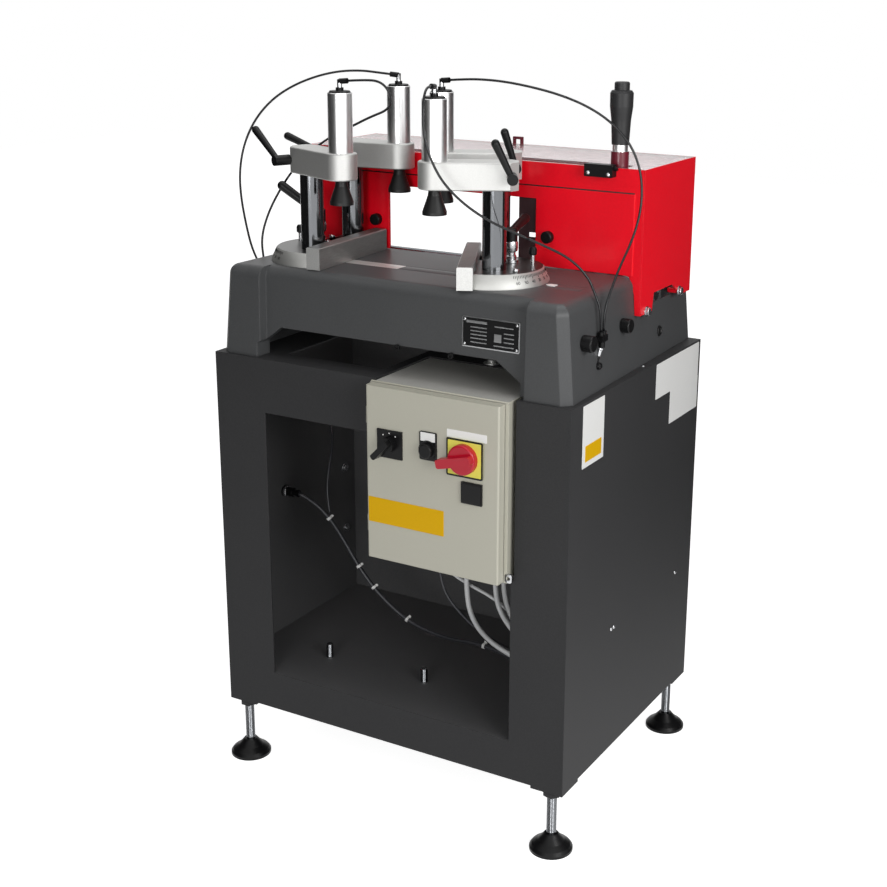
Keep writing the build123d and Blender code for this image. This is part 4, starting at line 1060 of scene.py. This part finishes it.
# The discs' coned rim and what is cut into them, in millimetres
RIM_LOW = 95.0
RIM_TOP = 86.0
RIM_STEP = 2.0
FENCE_BACK = -26.0
DISC_FOOT = ((-26.0, 32.5), (40.0, 124.0))
DISC_BORES = ((*LOCK, 6.6), (66.0, 21.0, 4.1))
BORE_DEPTH = 14.0
BORE_OVER = 2.0
DISC_SIDES = 120
FOOT_ROUNDING = 0.8
# How far the scales reach to each side and the steps of their marks in degrees, and their sizes in metres
SCALE_END = 64
SCALE_STEP = 2
LONG_STEP = 10
LONG_MARK = 0.0075
SHORT_MARK = 0.0045
MARK_DOWN = 0.0008
FIGURE_DOWN = 0.0155
FIGURE_SIZE = 0.0075
FIGURE_PROUD = 0.00015
MARK_SPAN = (-0.0002, 0.00025)
MARK_STEP = 0.0001
# The inset of a mark's top by its width
MARK_INSET = 0.15
# The pointer's place in mm, its form and the cut of its tip in metres
POINTER = (236.0, -121.0, TABLE_TOP)
POINTER_FORM = (0.018, 0.012, 0.0, 0.0012)
POINTER_TIP = 0.0058


def station_place(side):
    """Moves a piece drawn about a station's pivot to the station."""
    x, y, turn, _ = STATIONS[side]
    where = Vector((x * MM, y * MM + CABINET_MIDDLE_Y, 0.0))
    return Matrix.Translation(where) @ Matrix.Rotation(math.radians(turn), 4, "Z")


class ENDMILL_OT_turntables(bpy.types.Operator):
    """Turns the stations' discs with their coned rim and cuts them back to the fence"""
    bl_idname = "endmill.turntables"
    bl_label = "Turntables"

    def execute(self, context):
        low = TABLE_TOP * MM
        high = DISC_TOP * MM
        step = RIM_STEP * MM
        for side in STATIONS:
            hand = STATIONS[side][3]
            disc = turned([(0.0, low), (RIM_LOW * MM, low), (RIM_LOW * MM, low + step),
                           (RIM_TOP * MM, high - step), (RIM_TOP * MM - step, high), (0.0, high)], DISC_SIDES)
            edit(disc, faces=every)
            bpy.ops.mesh.bisect(plane_co=(hand * FENCE_BACK * MM, 0, 0), plane_no=(hand, 0, 0), use_fill=True,
                                clear_inner=True)
            clear()
            (u0, u1), (v0, v1) = DISC_FOOT
            foot = slab((u1 - u0) * MM, (v1 - v0) * MM, low, high)
            soften(moved(foot, hand * (u0 + u1) / 2 * MM, (v0 + v1) / 2 * MM), FOOT_ROUNDING * MM)
            for u, v, radius in DISC_BORES:
                hole = drum(radius * MM, high - BORE_DEPTH * MM, high + BORE_OVER * MM, 32)
                bore(disc, moved(hole, hand * u * MM, v * MM))
            whole = coat(join(disc, foot), "turned", "ground")
            # The disc's top takes the dark ground steel: painted shade
            for face in whole.data.polygons:
                face.material_index = 1 if face.normal.z > LEVEL else 0
            put(whole, "disc_" + side, station_place(side), "station_" + side)
            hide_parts("turntable_" + side)
        return {"FINISHED"}


class ENDMILL_OT_scales(bpy.types.Operator):
    """Marks and numbers the angle scales on the discs' coned rims and fixes the pointer"""
    bl_idname = "endmill.scales"
    bl_label = "Scales"

    def execute(self, context):
        width = context.scene.endmill_sizes.tick
        for side in STATIONS:
            marks = []
            for degree in range(-SCALE_END, SCALE_END + 1, SCALE_STEP):
                long = degree % LONG_STEP == 0
                reach = LONG_MARK if long else SHORT_MARK
                mark = slab(width, reach, *MARK_SPAN)
                edit(mark, faces=faces_up)
                bpy.ops.mesh.inset(thickness=width * MARK_INSET, depth=MARK_STEP)
                clear()
                mark.data.transform(self.on_rim(side, degree, MARK_DOWN + reach / 2))
                marks.append(mark)
                if long:
                    marks.append(self.figure(side, degree))
            scale = coat(join(*marks), "plastic")
            put(scale, "scale_" + side, station_place(side), "station_" + side)
        pointer = bevelled(slab(*POINTER_FORM), lambda edge: upright(edge) and edge.verts[0].co.x < 0,
                           POINTER_TIP, 1)
        put(coat(pointer, "white"), "pointer", seat(POINTER))
        return {"FINISHED"}

    def on_rim(self, side, degree, down):
        """The seat on the cone at an angle of the disc, a distance down its slope."""
        hand = STATIONS[side][3]
        rise = DISC_TOP - TABLE_TOP - 2 * RIM_STEP
        spread_out = RIM_LOW - RIM_TOP
        slope = math.hypot(rise, spread_out)
        radius = RIM_TOP + down / MM * spread_out / slope
        height = DISC_TOP - RIM_STEP - down / MM * rise / slope
        angle = math.radians(degree)
        away = Vector((hand * math.cos(angle), math.sin(angle), 0.0))
        place = seat((radius * away.x, radius * away.y, height), away * rise + Vector((0.0, 0.0, spread_out)))
        return Matrix.Translation((0.0, -CABINET_MIDDLE_Y, 0.0)) @ place

    def figure(self, side, degree):
        """A number of the scale, below its long mark."""
        clear()
        bpy.ops.object.text_add()
        words = bpy.context.object
        words.data.body = str(abs(degree))
        words.data.size = FIGURE_SIZE
        words.data.extrude = FIGURE_PROUD
        words.data.align_x = "CENTER"
        bpy.ops.object.convert(target="MESH")
        figure = bpy.context.object
        figure.data.transform(self.on_rim(side, degree, FIGURE_DOWN))
        return figure


# Where the bright part of the guide strip ends, and the rounding of its edges, in metres
BRIGHT_TO = -0.050
STRIP_ROUNDING = 0.0006


class ENDMILL_OT_guide_strip(bpy.types.Operator):
    """Lays the guide strip in the table's groove: bright steel on its left part, the casting's enamel on the
    rest
    """
    bl_idname = "endmill.guide_strip"
    bl_label = "Guide strip"

    def execute(self, context):
        low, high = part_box("guide_bar")
        middle = (low + high) / 2
        bar = moved(slab(high.x - low.x, high.y - low.y, low.z, high.z), middle.x, middle.y)
        edit(bar, faces=every)
        bpy.ops.mesh.bisect(plane_co=(BRIGHT_TO, 0, 0), plane_no=(1, 0, 0))
        clear()
        coat(soften(bar, STRIP_ROUNDING), "bright", "casting")
        for face in bar.data.polygons:
            face.material_index = 1 if face.center.x > BRIGHT_TO else 0
        put(bar, "guide_strip", Matrix.Identity(4))
        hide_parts("guide_bar")
        return {"FINISHED"}


# Straight trim of the control box: width, depth, low and high in metres, its rounding and the steps of that,
# its finish, its place in mm and its slot
BOX_TRIM = {
    "box_lip": ((0.258, 0.003, 0.0, 0.0028), (0.0011, 3), "box", (121.0, -284.5, 789.0), "box_paint"),
    "box_gasket": ((0.242, 0.0018, -0.003, -0.0008), (EDGE, 2), "rubber", (120.0, -286.95, 789.0),
                   "black_rubber"),
    "box_side_gasket": ((0.0018, 0.0018, 0.492, 0.786), (EDGE, 2), "rubber", (243.5, -286.95, 0.0),
                        "black_rubber"),
}
# The lug's place in mm; its form, its corners with their steps, and its hole in metres
BOX_LUG = (253.0, -283.0, 496.0)
LUG_FORM = (0.013, 0.016, 0.0, 0.003)
LUG_CORNER = (0.004, 4)
LUG_HOLE = (0.0032, -0.001, 0.004, 24)


class ENDMILL_OT_box_trim(bpy.types.Operator):
    """Adds the control box's gasket, the lip behind its door and its lower lug"""
    bl_idname = "endmill.box_trim"
    bl_label = "Box trim"

    def execute(self, context):
        for name, (form, rounding, finish, place, slot) in BOX_TRIM.items():
            put(coat(soften(slab(*form), *rounding), finish), name, seat(place))
        lug = bevelled(slab(*LUG_FORM), upright, *LUG_CORNER)
        bore(lug, drum(*LUG_HOLE))
        soften(lug, EDGE)
        put(coat(lug, "zinc"), "box_lug", seat(BOX_LUG, FRONT))
        return {"FINISHED"}


# Profiles of the turned fittings: (radius, height) in metres
FERRULE = [
    (0.0063, 0.0052), (0.0095, 0.0052), (0.0098, 0.0110), (0.0080, 0.0130), (0.0080, 0.0175),
    (0.0112, 0.0195), (0.0121, 0.0240), (0.0121, 0.0330), (0.0112, 0.0360), (0.0063, 0.0198),
    (0.0063, 0.0052)]
NOZZLE = [
    (0.0031, 0.0), (0.0050, 0.0006), (0.0050, 0.0034), (0.0039, 0.0044), (0.0039, 0.0125), (0.0035, 0.0140),
    (0.0031, 0.0140), (0.0031, 0.0)]
PLUG = [(0.0, -0.001), (0.0062, -0.001), (0.0064, 0.0020), (0.0055, 0.0055), (0.0030, 0.0075), (0.0, 0.0080)]
GROMMET = [
    (0.0, 0.0008), (0.0050, 0.0008), (0.0062, 0.0022), (0.0080, 0.0022), (0.0092, 0.0012), (0.0092, -0.001),
    (0.0, -0.001)]
BULKHEAD = [
    (0.0, 0.0), (0.011, 0.0), (0.011, 0.002), (0.009, 0.0025), (0.009, 0.021), (0.0075, 0.022),
    (0.006, 0.0225), (0.006, 0.031), (0.0072, 0.0315), (0.0072, 0.0335), (0.0045, 0.034), (0.0, 0.034)]
STRAP = [(0.0040, -0.0024), (0.0053, -0.0024), (0.0053, 0.0024), (0.0040, 0.0024), (0.0040, -0.0024)]
# A gland's dome: its radii as shares of the cable's, and its heights in metres
GLAND = [
    (2.0, 0.0), (2.0, 0.011), (1.8, 0.017), (1.3, 0.022), (1.05, 0.0235), (0.98, 0.023), (0.98, 0.0),
    (2.0, 0.0)]
GLAND_NUT = 2.5
GLAND_NUT_HEIGHT = 0.006
# How much the casting's sides lean, and where the right one's grommet sits and faces
SIDE_LEAN = 0.087
GROMMET_PLACE = (327.6, 121.0, 833.0)
GROMMET_OUT = (1.0, 0.029, SIDE_LEAN)
# On the right, and mirrored on the left, in mm: the hose splitter's foot, the run from there to its plug, the
# share of that run at which the nozzle starts, and the plug's place
SPLITTER_FOOT = (338.5, -139.0, 865.0)
RUN_TO_PLUG = (-7.4, -7.0, -34.0)
NOZZLE_AT = 0.13
PLUG_PLACE = (335.1, -146.0, 831.0)
# The cover's catch: its place in mm, its form, the slot in it and its rounding in metres
CATCH_PLACE = (-20.0, 234.2, 1112.0)
CATCH_FORM = (0.021, 0.006, 0.0, 0.027)
CATCH_SLOT = (0.010, 0.012, 0.011, 0.022)
CATCH_ROUNDING = 0.0012
# A black rubber strip along the cover's top edge that paints the shadow line under its fold: its place in mm;
# its depth, low and high, and the room at the guard's ends, in metres
SHADOW_STRIP_PLACE = (0.0, 11.3, 1085.0)
SHADOW_STRIP_FORM = (0.0012, -0.0002, 0.0020)
SHADOW_STRIP_ROOM = 0.030
# The bulkhead fitting's place in mm, and its nut in metres: flats, low, high and rounding
BULKHEAD_PLACE = (-347.0, -85.0, 474.0)
BULKHEAD_NUT = (0.022, 0.003, 0.009)
BULKHEAD_NUT_ROUNDING = 0.0005
# A tie's head and tail in metres: form, place beside the strap's middle, and rounding with its steps
TIE_HEAD = ((0.0046, 0.0052, -0.0026, 0.0026), (0.0068, 0.0), (0.0006, 2))
TIE_TAIL = ((0.0012, 0.0050, -0.0016, 0.0016), (0.0070, 0.0040), (0.0003, 1))
TIE_TURN = 30


class ENDMILL_OT_small_fittings(bpy.types.Operator):
    """Adds the lock ferrules, the hose nozzles, the casting's grommet, the cover's catch and a black strip of
    painted shadow under the cover's fold
    """
    bl_idname = "endmill.small_fittings"
    bl_label = "Small fittings"

    def execute(self, context):
        for side in STATIONS:
            place = seat(on_station(side, *LOCK, DISC_TOP))
            put(coat(turned(FERRULE, 32), "zinc"), "lock_ferrule_" + side, place, "lock_" + side)
        for name, hand in (("left", -1), ("right", 1)):
            mirrored = Vector((hand, 1.0, 1.0))
            down = Vector(RUN_TO_PLUG) * mirrored
            start = Vector(SPLITTER_FOOT) * mirrored + down * NOZZLE_AT
            put(coat(turned(NOZZLE, 24), "zinc"), "hose_nozzle_" + name, seat(start, down))
            place = seat(Vector(PLUG_PLACE) * mirrored, (hand, 0.0, SIDE_LEAN))
            put(coat(turned(PLUG, 24), "plastic"), "hose_plug_" + name, place)
        place = seat(GROMMET_PLACE, GROMMET_OUT)
        put(coat(turned(GROMMET, 28), "rubber"), "casting_grommet", place)
        catch = slab(*CATCH_FORM)
        bore(catch, slab(*CATCH_SLOT))
        soften(catch, CATCH_ROUNDING)
        put(coat(catch, "stem"), "cover_catch", seat(CATCH_PLACE))
        # A black strip along the cover's top edge: painted shadow under its fold
        low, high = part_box("guard_front")
        shadow_strip = soften(slab(high.x - low.x - SHADOW_STRIP_ROOM, *SHADOW_STRIP_FORM), EDGE)
        put(coat(shadow_strip, "rubber"), "cover_seal", seat(SHADOW_STRIP_PLACE))
        return {"FINISHED"}


class ENDMILL_OT_line_fittings(bpy.types.Operator):
    """Adds the bulkhead fitting, the ties on the air tube and the glands under the control box"""
    bl_idname = "endmill.line_fittings"
    bl_label = "Line fittings"

    def execute(self, context):
        sizes = context.scene.endmill_sizes
        wall = seat(BULKHEAD_PLACE, RIGHT)
        put(coat(turned(BULKHEAD, 28), "plastic"), "bulkhead_fitting", wall)
        nut = soften(hexagon(*BULKHEAD_NUT), BULKHEAD_NUT_ROUNDING, 1)
        put(coat(nut, "zinc"), "bulkhead_nut", wall)
        spread(self.tie(), "cable_tie", self.tie_seats(), "cable_plastic")
        for name, route in BOX_CABLES.items():
            cable = (sizes.thin_cable if name == "thin" else sizes.cable) / 2
            dome = turned([(cable * share, height) for share, height in GLAND], 24)
            nut = soften(drum(cable * GLAND_NUT, 0.0, GLAND_NUT_HEIGHT, 6), EDGE, 1)
            x, y, z = route[0]
            gland = coat(join(dome, nut), "box")
            put(gland, "gland_" + name, seat((x / MM, y / MM, z / MM), DOWN, BACK))
        return {"FINISHED"}

    def tie(self):
        """A strap with its square head and the end of its tail."""
        ends = [soften(moved(slab(*form), *place), *rounding)
                for form, place, rounding in (TIE_HEAD, TIE_TAIL)]
        return coat(join(turned(STRAP, 20), *ends), "white")

    def tie_seats(self):
        """The ties' seats, each round the air tube's line where it passes nearest."""
        line = smooth_line(AIR_TUBE)
        seats = []
        for x, y, z in TIES:
            target = Vector((x, y + CABINET_MIDDLE_Y, z))
            i = min(range(1, len(line) - 1), key=lambda k: (line[k] - target).length)
            along = line[i + 1] - line[i - 1]
            middle = line[i] - Vector((0.0, CABINET_MIDDLE_Y, 0.0))
            seats.append(seat(middle / MM, along, spin=TIE_TURN))
        return seats


# Stage

CAMERA_PLACE = (1.3044, -2.19675, 1.4414)
CAMERA_AZIMUTH = 29.23
CAMERA_ELEVATION = 16.54
CAMERA_ROLL = 0.55
CAMERA_LENS = 59.85
CAMERA_SHIFT = (-0.0553, -0.0427)
CAMERA_SENSOR = 36.0
CAMERA_REACH = 100.0
# Name, place in metres, size in metres and power in watts of each lamp, and the point that they aim at
LAMPS = (
    ("left_softbox", (0.70, -3.1, 1.15), 0.9, 25.5),
    ("right_softbox", (3.1, -1.9, 1.7), 1.3, 42.0),
    ("upper_right_softbox", (1.75, -0.45, 1.5), 0.5, 8.0),
    ("top_softbox", (0.3, 0.2, 3.4), 1.6, 20.0),
)
LAMP_AIM = (0.0, 0.0, 0.7)
# Cloths that stand out of view at the sides, so that metal and gloss show a dark side as they do in a room:
# the middle of each in metres, its width and height in metres, its turn in degrees and its colour
FLAGS = (
    ("left_flag", (-1.75, -1.05, 1.3), (2.7, 2.6), 90.0, "1A1A1A"),
    ("front_flag", (-1.15, -3.0, 1.3), (1.9, 2.6), 145.0, "1A1A1A"),
    ("rear_left_flag", (-3.38, 1.8, 1.3), (4.1, 2.6), 137.4, "1A1A1A"),
    ("right_flag", (0.56, 1.3, 1.1), (2.5, 2.2), 104.2, "707070"),
)
CLOTH_ROUGHNESS = 0.9
# The floor's size in metres; as the camera sees it, its glow and the grey that takes the shadow; the grey
# that lights the machine from below; then the strength of the world's light and of the background seen
FLOOR_SIZE = 16.0
FLOOR_GLOW = 0.86
FLOOR_GREY = (0.80, 0.80, 0.80, 1.0)
FLOOR_BOUNCE = (0.50, 0.50, 0.50, 1.0)
WORLD_LIGHT = 0.40
WORLD_SEEN = 1.0


def background_rays(tree):
    """1 for the rays that see the background white: the camera's, glossy ones and those through glass."""
    path = node(tree, "ShaderNodeLightPath")
    seen = path.outputs["Is Camera Ray"]
    for kind in ("Is Glossy Ray", "Is Transmission Ray"):
        either = node(tree, "ShaderNodeMath", {"operation": "MAXIMUM"})
        tree.links.new(seen, either.inputs[0])
        tree.links.new(path.outputs[kind], either.inputs[1])
        seen = either.outputs[0]
    return seen


class ENDMILL_OT_stage(bpy.types.Operator):
    """Sets the camera, the pale floor, the lamps and the world"""
    bl_idname = "endmill.stage"
    bl_label = "Stage"

    def execute(self, context):
        self.camera(context)
        self.floor()
        self.flags()
        self.lamps()
        self.world(context)
        context.scene.view_settings.view_transform = "Standard"
        return {"FINISHED"}

    def camera(self, context):
        data = bpy.data.cameras.new("camera")
        data.sensor_width = CAMERA_SENSOR
        data.lens = CAMERA_LENS
        data.shift_x, data.shift_y = CAMERA_SHIFT
        data.clip_end = CAMERA_REACH
        obj = bpy.data.objects.new("camera", data)
        turn = Matrix.Rotation(math.radians(CAMERA_AZIMUTH), 4, "Z")
        tilt = Matrix.Rotation(math.radians(90 - CAMERA_ELEVATION), 4, "X")
        roll = Matrix.Rotation(math.radians(CAMERA_ROLL), 4, "Z")
        obj.matrix_world = Matrix.Translation(CAMERA_PLACE) @ turn @ tilt @ roll
        context.scene.collection.objects.link(obj)
        context.scene.camera = obj

    def floor(self):
        bpy.ops.object.select_all(action="DESELECT")
        bpy.ops.mesh.primitive_plane_add(size=FLOOR_SIZE)
        floor = bpy.context.object
        floor.name = "floor"
        material = bpy.data.materials.new("pale_floor")
        material.use_nodes = True
        tree = material.node_tree
        tree.nodes.clear()
        glow = node(tree, "ShaderNodeEmission", {"Strength": FLOOR_GLOW})
        shade = node(tree, "ShaderNodeBsdfDiffuse", {"Color": FLOOR_GREY})
        bounce = node(tree, "ShaderNodeBsdfDiffuse", {"Color": FLOOR_BOUNCE})
        white = node(tree, "ShaderNodeAddShader", None, {0: glow.outputs[0], 1: shade.outputs[0]})
        mix = node(tree, "ShaderNodeMixShader", None,
                   {"Fac": background_rays(tree), 1: bounce.outputs[0], 2: white.outputs[0]})
        node(tree, "ShaderNodeOutputMaterial", None, {"Surface": mix.outputs[0]})
        floor.data.materials.append(material)

    def flags(self):
        for name, place, (width, height), turn, colour in FLAGS:
            material = bpy.data.materials.new(name + "_cloth")
            material.use_nodes = True
            bsdf = material.node_tree.nodes["Principled BSDF"]
            bsdf.inputs["Base Color"].default_value = rgba(linear(colour))
            bsdf.inputs["Roughness"].default_value = CLOTH_ROUGHNESS
            bpy.ops.object.select_all(action="DESELECT")
            bpy.ops.mesh.primitive_plane_add(size=1.0, location=place, scale=(width, height, 1.0),
                                             rotation=(math.radians(90), 0, math.radians(turn)))
            flag = bpy.context.object
            flag.scale = (width, height, 1.0)
            flag.name = name
            flag.data.materials.append(material)
            flag.visible_camera = False

    def lamps(self):
        for name, place, size, power in LAMPS:
            data = bpy.data.lights.new(name, "AREA")
            data.size = size
            data.energy = power
            obj = bpy.data.objects.new(name, data)
            obj.location = place
            obj.rotation_mode = "QUATERNION"
            obj.rotation_quaternion = (Vector(LAMP_AIM) - Vector(place)).to_track_quat("-Z", "Y")
            bpy.context.scene.collection.objects.link(obj)

    def world(self, context):
        world = bpy.data.worlds.new("studio")
        context.scene.world = world
        world.use_nodes = True
        tree = world.node_tree
        tree.nodes.clear()
        strength = node(tree, "ShaderNodeMapRange", {"To Min": WORLD_LIGHT, "To Max": WORLD_SEEN},
                        {"Value": background_rays(tree)})
        light = node(tree, "ShaderNodeBackground", {"Color": (1.0, 1.0, 1.0, 1.0)},
                     {"Strength": strength.outputs["Result"]})
        node(tree, "ShaderNodeOutputWorld", None, {"Surface": light.outputs[0]})


STEPS = (
    ENDMILL_OT_stage,
    ENDMILL_OT_finishes,
    ENDMILL_OT_clamp_hoses,
    ENDMILL_OT_cabinet_lines,
    ENDMILL_OT_line_fittings,
    ENDMILL_OT_fasteners,
    ENDMILL_OT_feet,
    ENDMILL_OT_plates,
    ENDMILL_OT_turntables,
    ENDMILL_OT_scales,
    ENDMILL_OT_guide_strip,
    ENDMILL_OT_box_trim,
    ENDMILL_OT_small_fittings,
)


class ENDMILL_PT_panel(bpy.types.Panel):
    """Lists the steps that dress the machine"""
    bl_idname = "ENDMILL_PT_panel"
    bl_label = "End milling machine"
    bl_space_type = "VIEW_3D"
    bl_region_type = "UI"
    bl_category = "Machine"

    def draw(self, context):
        for step in STEPS:
            self.layout.operator(step.bl_idname)


CLASSES = (MachineColours, MachineSizes, *STEPS, ENDMILL_PT_panel)


def register():
    for cls in CLASSES:
        bpy.utils.register_class(cls)
    bpy.types.Scene.endmill_colours = PointerProperty(type=MachineColours)
    bpy.types.Scene.endmill_sizes = PointerProperty(type=MachineSizes)


def unregister():
    del bpy.types.Scene.endmill_sizes
    del bpy.types.Scene.endmill_colours
    for cls in reversed(CLASSES):
        bpy.utils.unregister_class(cls)


def main():
    register()
    bpy.ops.object.select_all(action="DESELECT")
    bpy.ops.endmill.stage()
    bpy.ops.endmill.finishes()
    bpy.ops.endmill.clamp_hoses()
    bpy.ops.endmill.cabinet_lines()
    bpy.ops.endmill.line_fittings()
    bpy.ops.endmill.fasteners()
    bpy.ops.endmill.feet()
    bpy.ops.endmill.plates()
    bpy.ops.endmill.turntables()
    bpy.ops.endmill.scales()
    bpy.ops.endmill.guide_strip()
    bpy.ops.endmill.box_trim()
    bpy.ops.endmill.small_fittings()


if __name__ == "__main__":
    main()
